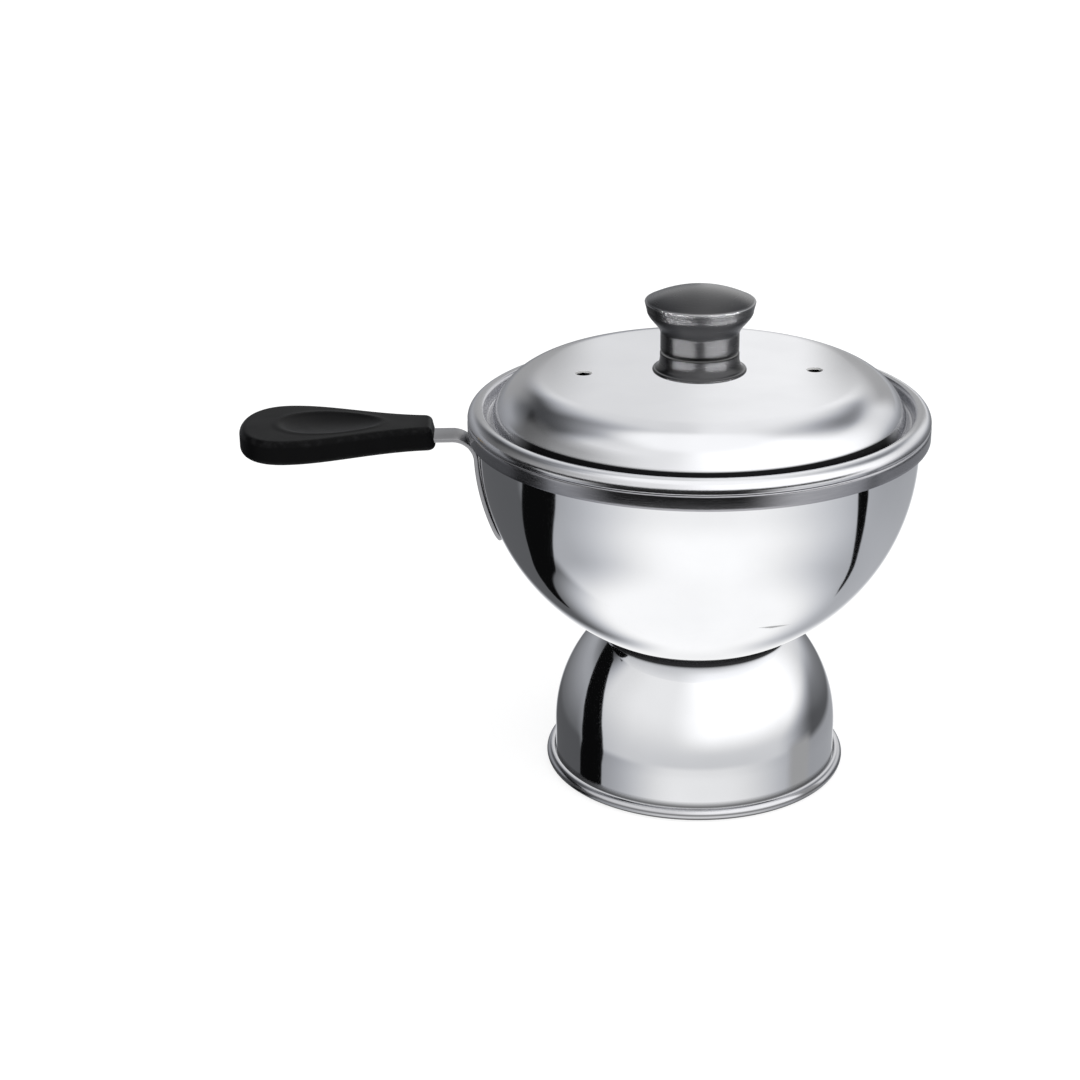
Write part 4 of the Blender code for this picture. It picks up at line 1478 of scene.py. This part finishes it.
@dataclass
class Grip:
    """The moulded grip with its thumb hollow, insert and countersunk screw. X is from the bowl's axis."""

    near_x: float = Strap.grip_near_x
    far_x: float = -0.1383
    wide_x: float = -0.124
    near_half: float = 0.0074
    wide_half: float = 0.0184
    taper_length: float = 0.0185
    taper_spread: float = 0.0017
    wide_length: float = 0.013
    end_fullness: float = 0.62
    near_corner: float = 0.0026
    top_z: float = 0.1132
    thickness: float = 0.0074
    edge_r: float = 0.0019
    edge_steps: int = 9
    cap_steps: int = 24
    lip: float = 0.0009
    recess_x: float = -0.1112
    recess_half_length: float = 0.0158
    recess_half_width: float = 0.0100
    recess_depth: float = 0.0015
    recess_point: float = 0.22
    brow: float = 0.00016
    screw_thread: float = 0.0002
    screw_pitch: float = 0.0006
    screw_head_r: float = 0.0029
    screw_head_height: float = 0.0013
    cross_reach: float = 0.0017
    cross_half: float = 0.0003
    cross_depth: float = 0.0009
    insert_r: float = 0.0028
    insert_bore_r: float = 0.0018
    insert_length: float = 0.0026
    insert_ease: float = 0.0002
    insert_teeth: tuple[float, int] = (0.0002, 18)

    @property
    def bottom_z(self) -> float:
        """Height of the grip's underside."""
        return self.top_z - self.thickness

    def half_outline(self) -> list[Point]:
        """Draws the outline's -Y half, from the near end's middle to the far end's.

        Returns:
            The points in order.
        """
        corner, wide = self.near_corner, (self.wide_x, -self.wide_half)
        points = [(self.near_x, 0.0)]
        points += run(points[0], (self.near_x, -self.near_half + corner), 8)
        points += arc((self.near_x - corner, -self.near_half + corner), corner, 0.0, -88.0, 10)[1:]
        side = points[-1]
        leaving = (side[0] - self.taper_length + corner, -self.near_half - self.taper_spread)
        points += bezier((side, leaving, (self.wide_x + self.wide_length, -self.wide_half), wide), 44)
        reach = self.end_fullness * (self.wide_x - self.far_x)
        arriving = (self.far_x, -self.end_fullness * self.wide_half)
        points += bezier((wide, (self.wide_x - reach, -self.wide_half), arriving, (self.far_x, 0.0)), 34)
        return points

    def recess(self, x: float, y: float) -> float:
        """Works out the thumb hollow's depth at a point of the top face.

        Args:
            x: the point's distance from the bowl's axis.
            y: how far it lies beside the handle's line.

        Returns:
            The depth, negative on the raised brow round the hollow.
        """
        along = (x - self.recess_x) / self.recess_half_length
        across = y / (self.recess_half_width * (1.0 - self.recess_point * along))
        reach = math.hypot(along, across)
        if reach > 1.12:
            return 0.0
        return self.recess_depth * max(0.0, 1.0 - reach * reach) - self.brow * near(reach, 1.0, 0.16)

    def rings(self, outline: Sequence[Point], inward: Sequence[Vector]) -> list[list[tuple[Vector, float]]]:
        """Lays rings from the underside's spine out, up over the rounded edges and in to the top's spine.

        Args:
            outline: the outline's points.
            inward: the direction into the grip at each of them.

        Returns:
            Rings of (place, share of edge wear).
        """
        spine_far = self.far_x + self.wide_half * 0.75
        spine_near = self.near_x - self.near_half * 0.8
        lip_z = self.top_z - self.thickness * 0.35

        def ring(inset: float, z: float, wear: float) -> list[tuple[Vector, float]]:
            """Lays one ring, with the lip below the strap.

            Args:
                inset: how far it lies inside the outline.
                z: its height.
                wear: its share of edge wear.

            Returns:
                The ring.
            """
            made = []
            for (x, y), normal in zip(outline, inward):
                lip = self.lip * ramp(lip_z - z, 0.0, 0.003) * ramp(x, self.near_x - 0.004, self.near_x)
                made.append((Vector((x + normal.x * inset + lip, y + normal.y * inset, z)), wear))
            return made

        def cap(z: float, hollow: bool) -> list[list[tuple[Vector, float]]]:
            """Lays the rings of a face, from its rounded edge in to the spine.

            Args:
                z: the face's height.
                hollow: whether it has the thumb hollow.

            Returns:
                The rings.
            """
            made = []
            for level in range(1, self.cap_steps + 1):
                row = []
                for (x, y), normal in zip(outline, inward):
                    start = Vector((x + normal.x * self.edge_r, y + normal.y * self.edge_r))
                    end = Vector((min(max(start.x, spine_far), spine_near), 0.0))
                    spot = start.lerp(end, level / self.cap_steps)
                    depth = self.recess(spot.x, spot.y) if hollow else 0.0
                    wear = 0.35 * near(depth, 0.0002, 0.0004) if hollow else 0.0
                    row.append((Vector((spot.x, spot.y, z - depth)), wear))
                made.append(row)
            return made

        turns = [math.radians(90.0 * index / self.edge_steps) for index in range(self.edge_steps + 1)]
        soft = self.edge_r
        lower = [
            ring(soft * (1.0 - math.sin(a)), self.bottom_z + soft * (1.0 - math.cos(a)), math.sin(2.0 * a) * 0.8)
            for a in turns
        ]
        upper = [
            ring(soft * (1.0 - math.cos(a)), self.top_z - soft * (1.0 - math.sin(a)), math.sin(2.0 * a))
            for a in turns
        ]
        return cap(self.bottom_z, False)[::-1] + lower + upper + cap(self.top_z, True)

    def build_body(self, finish: Material) -> Piece:
        """Lofts the moulding round its outline.

        Args:
            finish: the bakelite.

        Returns:
            The uncut moulding.
        """
        half = self.half_outline()
        outline = half + [(x, -y) for x, y in half[-2:0:-1]]
        inward = []
        for (ax, ay), (bx, by) in zip(outline[-1:] + outline[:-1], outline[1:] + outline[:1]):
            along = Vector((bx - ax, by - ay)).normalized()
            inward.append(Vector((along.y, -along.x)))
        if inward[len(half) // 2].y < 0.0:
            inward = [-normal for normal in inward]
        shape = bmesh.new()
        layer = shape.verts.layers.float.new("edge")
        rows = []
        for ring in self.rings(outline, inward):
            row = []
            for place, wear in ring:
                vertex = shape.verts.new(Vector((AXIS_X + place.x, place.y, place.z)))
                vertex[layer] = wear
                row.append(vertex)
            rows.append(row)
        join_rows(shape, rows)
        bmesh.ops.remove_doubles(shape, verts=shape.verts, dist=2.0e-6)
        bmesh.ops.dissolve_degenerate(shape, edges=shape.edges, dist=1.0e-7)
        holes = [edge for edge in shape.edges if len(edge.link_faces) == 1]
        if holes:
            bmesh.ops.holes_fill(shape, edges=holes, sides=0)
        return outward(solid("grip", shape, finish))

    def cutters(self, lathe: Lathe, finish: Material) -> list[Piece]:
        """Makes the slot for the tang, the pocket for the insert and the countersunk hole.

        Args:
            lathe: turns the hole.
            finish: the bakelite.

        Returns:
            The three cutters.
        """
        top, bottom = Strap.top_z, self.bottom_z
        low = top - Strap.sheet - 2.0 * CLEARANCE
        half = Strap.width / 2.0 + CLEARANCE
        near_x = AXIS_X + self.near_x
        slot = block("grip_slot", (near_x - Strap.tang - CLEARANCE, -half, low), (near_x + 0.004, half, top))
        axis, ease = AXIS_X + Strap.screw_x, 0.0006
        pocket_r, pocket_top = self.insert_r + CLEARANCE, top + self.insert_length + CLEARANCE
        pocket = cylinder("grip_pocket", pocket_r, low + ease, pocket_top, axis)
        head, shank = self.screw_head_r + CLEARANCE, Strap.screw_r + CLEARANCE
        section = [
            (0.0, low + ease), (shank, low + ease), (shank, bottom + self.screw_head_height),
            (head, bottom), (head, bottom - 0.002), (0.0, bottom - 0.002),
        ]
        return [slot, pocket, lathe.turn("grip_screw_hole", section, finish, 48, closed=False, axis_x=axis)]

    def insert_section(self, low: float, high: float) -> list[Point]:
        """Draws the insert's ring between two heights, its upper edge eased."""
        wide, bore, ease = self.insert_r, self.insert_bore_r, self.insert_ease
        return [(bore, high), (wide - ease, high), (wide, high - ease), (wide, low), (bore, low)]

    def screw_section(self, tip: float) -> list[Point]:
        """Draws the countersunk screw, its tip up.

        Args:
            tip: height of its tip.

        Returns:
            The open section.
        """
        bottom, rim = self.bottom_z, self.screw_head_r - 0.0001
        points = [(0.0, tip), (Strap.screw_r * 0.8, tip)]
        points += thread(bottom + 0.002, tip - 0.0003, Strap.screw_r, self.screw_thread, self.screw_pitch)
        points += [(Strap.screw_r, bottom + self.screw_head_height), (rim, bottom + 0.0001)]
        return points + [(rim, bottom), (0.0, bottom)]

    def build(self, lathe: Lathe, finishes: Finishes) -> list[Piece]:
        """Builds the grip, its insert and its screw.

        Args:
            lathe: turns the small pieces.
            finishes: the materials.

        Returns:
            The three pieces.
        """
        body = self.build_body(finishes.bakelite)
        cut(body, *self.cutters(lathe, finishes.bakelite))
        body.visible_glossy = False
        axis = AXIS_X + Strap.screw_x
        low, high = Strap.top_z, Strap.top_z + self.insert_length
        insert = lathe.turn("grip_bush", self.insert_section(low, high), finishes.brass, 48, axis_x=axis)
        knurl(insert, axis, self.insert_r, *self.insert_teeth)
        section = self.screw_section(high - CLEARANCE)
        screw = lathe.turn("grip_fixing", section, finishes.strip, 64, closed=False, axis_x=axis)
        low, high = self.bottom_z - 0.001, self.bottom_z + self.cross_depth
        cut(screw, *cross("cross", axis, low, high, self.cross_reach, self.cross_half))
        return [
            finished(body, Body.PAN, Slot.BAKELITE, "handle_grip"),
            finished(insert, Body.PAN, Slot.BRASS, "grip_insert"),
            finished(screw, Body.PAN, Slot.SATIN, "grip_screw"),
        ]


def beside(azimuth: float, radius: float, height: float) -> Place:
    """A place round the axis, at an azimuth in degrees that grows to the right of the camera's side."""
    turn = math.radians(azimuth - VIEW_AZIMUTH)
    return AXIS_X + radius * math.sin(turn), -radius * math.cos(turn), height


@dataclass(frozen=True)
class Film:
    """A film round the axis that only mirrors inside it see. Its tone is (share of light held back, glow)."""

    name: str
    radius: float
    heights: tuple[float, ...]
    tone: Callable[[float, int], Tone]
    steps: int = 240

    def smoke(self) -> Material:
        """Makes the film's material, clear from outside.

        Returns:
            The new material.
        """
        made = bpy.data.materials.new(self.name)
        made.use_nodes = True
        made.node_tree.nodes.clear()
        graph = Graph(made.node_tree)
        inside = graph.node("ShaderNodeNewGeometry").outputs["Backfacing"]
        dense = graph.times(graph.attribute("smoke"), inside)
        clear = graph.out("ShaderNodeBsdfTransparent")
        dark = graph.out("ShaderNodeEmission", {"Strength": graph.attribute("glow")})
        mixed = graph.out("ShaderNodeMixShader", {0: dense, 1: clear, 2: dark})
        graph.node("ShaderNodeOutputMaterial", {0: mixed})
        return made

    def build(self) -> None:
        """Makes the film and hides it from the camera, diffuse light, shadows and transmission."""
        points: list[Place] = []
        tones: list[Tone] = []
        faces: list[tuple[int, ...]] = []
        for level, height in enumerate(self.heights):
            for index in range(self.steps + 1):
                azimuth = -180.0 + 360.0 * index / self.steps
                points.append(beside(azimuth, self.radius, height))
                tones.append(self.tone(azimuth, level))
                if level and index:
                    last = len(points) - 1
                    faces.append((last, last - 1, last - self.steps - 2, last - self.steps - 1))
        mesh = bpy.data.meshes.new(self.name)
        mesh.from_pydata(points, [], faces)
        for number, label in enumerate(("smoke", "glow")):
            mesh.attributes.new(label, "FLOAT", "POINT").data.foreach_set("value", [t[number] for t in tones])
        mesh.materials.append(self.smoke())
        item = new_object(self.name, mesh)
        item.visible_camera = item.visible_diffuse = item.visible_shadow = item.visible_transmission = False


def front_tone(azimuth: float, level: int) -> Tone:
    """Dark strip before the rim, wider at its top.

    Args:
        azimuth: degrees from the camera's side.
        level: the ring's number, from below.

    Returns:
        Share held back and glow.
    """
    reach = (16.0, 16.0, 16.0, 42.0, 42.0)[level]
    return 0.99 * ramp(abs(azimuth + VIEW_AZIMUTH), reach + 18.0, reach), 0.0


def lid_tone(azimuth: float, level: int) -> Tone:
    """Grey card beside the lid, darker towards the handle, and low cards behind it that the brim mirrors.

    Args:
        azimuth: degrees from the camera's side.
        level: the ring's number, from below.

    Returns:
        Share held back and glow.
    """
    card = (1.0, 1.0, 1.0, 0.6, 0.0)[level] * ramp(-azimuth, 14.0, 52.0) * ramp(-azimuth, 98.0, 82.0)
    low = (1.0, 1.0, 1.0, 0.5, 0.0)[level] * ramp(abs(azimuth), 104.0, 120.0)
    low *= ramp(abs(azimuth), 160.0, 146.0)
    glow = 0.55 - 0.38 * ramp(-azimuth, 36.0, 84.0)
    return max(0.95 * card, 0.9 * low), glow if low < 0.01 else 0.42


def foot_tone(azimuth: float, level: int) -> Tone:
    """Grey card at the foot's right that covers the right flag's end."""
    fade = (1.0, 1.0, 1.0, 0.0)[level]
    return fade * ramp(azimuth, 46.0, 52.5) * ramp(azimuth, 67.0, 60.5), 0.46


@dataclass(frozen=True)
class Tent:
    """The light tent as a world, with two dark flags that the polished steel mirrors.

    Angles are degrees: azimuth from the camera's side, positive to the right, and elevation above the horizon.
    A fade is (start, end, value at its start, value at its end). A flag's rows are (elevation, left edge, right
    edge), and its bounds are its lowest and highest elevation.
    """

    table_left: Fade = (-85.0, -10.0, 0.50, 1.2)
    table_right: Fade = (20.0, 115.0, 0.0, 0.70)
    table_depth: Fade = (-36.0, -19.0, 1.0, 0.88)
    table_dark: float = 0.12
    table_under: float = 1.15
    wall_rise: Fade = (-16.0, 26.0, 0.86, 1.15)
    wall_turn: Fade = (-85.0, -50.0, 0.87, 1.0)
    softbox: float = 0.5
    softbox_azimuth: Pair = (-24.0, 18.0)
    softbox_elevation: Pair = (-8.0, 12.0)
    behind_left: float = 0.98
    behind_right: float = 1.2
    roof: float = 1.4
    horizon: Pair = (-15.5, -20.5)
    left_corner: tuple[Pair, ...] = (
        (-30.0, 0.13), (-18.0, 0.17), (-8.0, 0.28), (2.0, 0.42), (10.0, 0.50), (16.0, 0.36), (24.0, 0.17),
        (34.0, 0.08), (42.0, 0.12), (50.0, 0.28), (58.0, 0.52), (66.0, 0.95), (80.0, 1.40),
    )
    right_corner: tuple[Pair, ...] = (
        (-30.0, 0.12), (-16.0, 0.12), (-8.0, 0.20), (-2.0, 0.28), (3.0, 0.44), (8.0, 0.70), (13.0, 0.90),
        (23.0, 1.02), (32.0, 0.80), (41.0, 0.30), (49.0, 0.46), (57.0, 0.78), (66.0, 1.00), (80.0, 1.40),
    )
    left_flag: tuple[Row, ...] = (
        (-48.0, -132.0, -125.0), (-46.0, -148.0, -109.0), (-42.0, -140.0, -99.0), (-38.0, -123.5, -92.6),
        (-34.0, -116.0, -87.6), (-30.0, -110.8, -83.6), (-26.0, -106.8, -80.4), (-22.0, -103.8, -78.2),
        (-18.0, -101.8, -77.0), (-10.0, -101.8, -77.4), (-2.0, -103.8, -79.8), (6.0, -107.4, -82.9),
        (14.0, -113.0, -87.3), (22.0, -122.6, -93.5), (32.0, -143.0, -105.0),
    )
    left_bounds: Pair = (-46.6, 31.0)
    right_flag: tuple[Row, ...] = (
        (-49.0, 138.0, 143.0), (-46.0, 125.5, 132.0), (-42.0, 113.6, 121.0), (-38.0, 105.1, 111.9),
        (-34.0, 99.7, 106.5), (-30.0, 95.8, 102.9), (-26.0, 92.9, 100.2), (-22.0, 90.7, 98.4), (-17.0, 88.6, 96.8),
    )
    right_bounds: Pair = (-46.8, -17.5)
    flag_edge: float = 0.55
    flag_light: float = 0.004

    def low_light(self, graph: Graph, azimuth: Socket, elevation: Socket) -> Socket:
        """The table below the horizon: bright in front, dim at the right, dark at the left behind the flag.

        Args:
            graph: the world's nodes.
            azimuth: the direction's azimuth.
            elevation: its elevation.

        Returns:
            The light's strength.
        """
        table = graph.minus(graph.step(azimuth, *self.table_left), graph.step(azimuth, *self.table_right))
        table = graph.times(table, graph.step(elevation, *self.table_depth))
        table = graph.blend(graph.step(azimuth, -96.0, -108.0), table, self.table_dark)
        table = graph.blend(graph.step(graph.math("ABSOLUTE", azimuth), 158.0, 174.0), table, 1.0)
        return graph.blend(graph.step(elevation, -44.0, -66.0), table, self.table_under)

    def high_light(self, graph: Graph, azimuth: Socket, elevation: Socket) -> Socket:
        """The walls and the roof: a softbox at the right, dark corners at both sides, white straight behind.

        Args:
            graph: the world's nodes.
            azimuth: the direction's azimuth.
            elevation: its elevation.

        Returns:
            The light's strength.
        """
        wall = graph.times(graph.step(elevation, *self.wall_rise), graph.step(azimuth, *self.wall_turn))
        softbox = graph.times(
            graph.step(azimuth, *self.softbox_azimuth), graph.step(elevation, *self.softbox_elevation)
        )
        front = graph.math("MULTIPLY_ADD", softbox, self.softbox, wall)
        left = graph.curve(elevation, self.left_corner)
        tilted = graph.math("MULTIPLY_ADD", graph.minus(azimuth, 132.0), 0.25, elevation)
        right = graph.curve(tilted, self.right_corner)
        shift = graph.step(elevation, -10.0, 12.0, 0.0, 22.0)
        light = graph.blend(graph.step(graph.minus(azimuth, shift), 66.0, 112.0), front, right)
        light = graph.blend(graph.step(azimuth, -80.0, -112.0), light, left)
        straight = graph.blend(graph.step(azimuth, -90.0, 90.0), self.behind_left, self.behind_right)
        start = graph.step(elevation, 27.0, 42.0, 155.0, 138.0)
        turned_away = graph.step(graph.math("ABSOLUTE", azimuth), start, 172.0)
        light = graph.blend(graph.times(turned_away, graph.step(elevation, 6.0, 14.0)), light, straight)
        return graph.blend(graph.step(elevation, 62.0, 74.0), light, self.roof)

    def flag(self, graph: Graph, azimuth: Socket, elevation: Socket, rows: Sequence[Row], bounds: Pair) -> Socket:
        """Draws a black flag between two edges.

        Args:
            graph: the world's nodes.
            azimuth: the direction's azimuth.
            elevation: its elevation.
            rows: the flag's rows.
            bounds: its lowest and highest elevation.

        Returns:
            1 on the flag, 0 beside it.
        """
        soft = self.flag_edge
        left = graph.minus(azimuth, graph.curve(elevation, [(row[0], row[1]) for row in rows]))
        right = graph.minus(azimuth, graph.curve(elevation, [(row[0], row[2]) for row in rows]))
        across = graph.times(graph.step(left, -soft, soft), graph.step(right, soft, -soft))
        above = graph.step(elevation, bounds[0] - soft, bounds[0] + soft)
        below = graph.step(elevation, bounds[1] + soft, bounds[1] - soft)
        return graph.times(across, graph.times(above, below))

    def build(self) -> None:
        """Makes the world, plain white to the camera and the tent to everything else."""
        world = bpy.data.worlds.new("tent")
        world.use_nodes = True
        bpy.context.scene.world = world
        graph = Graph(world.node_tree)
        world.node_tree.nodes.clear()
        towards = graph.node("ShaderNodeTexCoord").outputs["Generated"]
        x, y, z = graph.node("ShaderNodeSeparateXYZ", {0: towards}).outputs
        degrees = 180.0 / math.pi
        azimuth = graph.times(graph.math("ARCTAN2", x, graph.times(y, -1.0)), degrees)
        azimuth = graph.math("WRAP", graph.plus(azimuth, VIEW_AZIMUTH), 180.0, -180.0)
        elevation = graph.times(graph.math("ARCSINE", z), degrees)
        high = self.high_light(graph, azimuth, elevation)
        low = self.low_light(graph, azimuth, elevation)
        light = graph.blend(graph.step(elevation, *self.horizon), high, low)
        flags = graph.math(
            "MAXIMUM",
            self.flag(graph, azimuth, elevation, self.left_flag, self.left_bounds),
            self.flag(graph, azimuth, elevation, self.right_flag, self.right_bounds),
        )
        light = graph.blend(flags, light, self.flag_light)
        cool = graph.tint(graph.step(light, 0.5, 1.1), (0.93, 0.95, 1.0, 1.0), (1.0, 1.0, 1.0, 1.0))
        mirrored = graph.out("ShaderNodeBackground", {"Color": cool, "Strength": light})
        seen = graph.out("ShaderNodeBackground", {"Color": (1.0, 1.0, 1.0, 1.0), "Strength": 1.0})
        ray = graph.node("ShaderNodeLightPath").outputs["Is Camera Ray"]
        mixed = graph.out("ShaderNodeMixShader", {0: ray, 1: mirrored, 2: seen})
        graph.node("ShaderNodeOutputWorld", {0: mixed})


@dataclass
class Studio:
    """Camera, pale floor, the tent, and the films and strips near the object. Strips are (name, azimuth, watts)."""

    camera_place: Place = (-0.02107, -0.63119, 0.3255)
    camera_pitch: float = 21.74
    camera_turn: float = 2.704
    lens: float = 73.333
    shift_x: float = -75.0 / 1080.0
    floor_half: float = 4.0
    floor_grey: float = 0.3
    floor_glow: float = 0.78
    films: tuple[Film, ...] = (
        Film("film_front", 0.080, (0.1048, 0.1080, 0.1163, 0.1168, 0.1203), front_tone),
        Film("film_foot", 0.052, (-0.0080, -0.0010, 0.0145, 0.0185), foot_tone),
        Film("film_lid", 0.095, (0.1240, 0.1290, 0.1450, 0.1580, 0.1730), lid_tone),
    )
    strips: tuple[tuple[str, float, float], ...] = (("strip_left", -48.0, 1.5), ("strip_right", 50.0, 1.7))
    strip_width: float = 0.42
    strip_height: float = 0.28
    strip_distance: float = 0.3
    strip_z: float = 0.02
    knob_z: float = 0.142

    def camera(self) -> None:
        """Puts the camera where the photograph was taken from."""
        data = bpy.data.cameras.new("camera")
        data.sensor_width = 36.0
        data.lens = self.lens
        data.shift_x = self.shift_x
        data.clip_start, data.clip_end = 0.01, 50.0
        item = bpy.data.objects.new("camera", data)
        bpy.context.scene.collection.objects.link(item)
        item.location = self.camera_place
        item.rotation_euler = (math.radians(90.0 - self.camera_pitch), 0.0, -math.radians(self.camera_turn))
        bpy.context.scene.camera = item

    def floor(self) -> None:
        """Lays a pale paper floor that mirrors don't see, with a faint contact shadow."""
        mesh = bpy.data.meshes.new("floor")
        half = self.floor_half
        corners = [(-half, -half, 0.0), (half, -half, 0.0), (half, half, 0.0), (-half, half, 0.0)]
        mesh.from_pydata(corners, [], [(0, 1, 2, 3)])
        paper = bpy.data.materials.new("paper")
        paper.use_nodes = True
        shader = paper.node_tree.nodes["Principled BSDF"]
        shader.inputs["Base Color"].default_value = shaded((self.floor_grey,) * 3)
        shader.inputs["Roughness"].default_value = 0.9
        shader.inputs["Specular IOR Level"].default_value = 0.0
        shader.inputs["Emission Color"].default_value = (1.0, 1.0, 1.0, 1.0)
        shader.inputs["Emission Strength"].default_value = self.floor_glow
        mesh.materials.append(paper)
        item = new_object("floor", mesh)
        item.visible_glossy = False
        item.visible_diffuse = False

    def knob_strips(self, pieces: Sequence[Piece]) -> None:
        """Sets two soft strips at both sides that light the knob's pieces alone.

        Args:
            pieces: what they light.
        """
        lit = bpy.data.collections.new("knob_pieces")
        for piece in pieces:
            lit.objects.link(piece)
        for name, azimuth, watts in self.strips:
            data = bpy.data.lights.new(name, "AREA")
            data.shape = "RECTANGLE"
            data.size, data.size_y = self.strip_width, self.strip_height
            data.energy = watts
            data.use_shadow = False
            data.cycles.use_multiple_importance_sampling = False
            item = bpy.data.objects.new(name, data)
            bpy.context.scene.collection.objects.link(item)
            item.location = beside(azimuth, self.strip_distance, self.strip_z)
            towards = Vector((AXIS_X, 0.0, self.knob_z)) - item.location
            item.rotation_euler = towards.to_track_quat("-Z", "Y").to_euler()
            item.light_linking.receiver_collection = lit

    def build(self) -> None:
        """Sets up all but the strips, which need the knob."""
        self.camera()
        self.floor()
        for film in self.films:
            film.build()
        Tent().build()
        bpy.context.scene.view_settings.view_transform = "Standard"
        bpy.context.scene.view_settings.look = "None"
        log.info("studio: camera, floor, films and tent")


def main() -> None:
    """Builds the dressed object and its studio."""
    logging.basicConfig(level=logging.INFO, format="%(name)s %(message)s")
    studio = Studio()
    studio.build()
    finishes = Finishes.make()
    lathe = Lathe()
    Vessel().build(lathe, finishes)
    Lid().build(lathe, finishes)
    knob, collar, *_ = Knob().build(lathe, finishes)
    studio.knob_strips((knob, collar))
    SteamPlate().build(lathe, finishes)
    Strap().build(finishes)
    Grip().build(lathe, finishes)


if __name__ == "__main__":
    main()
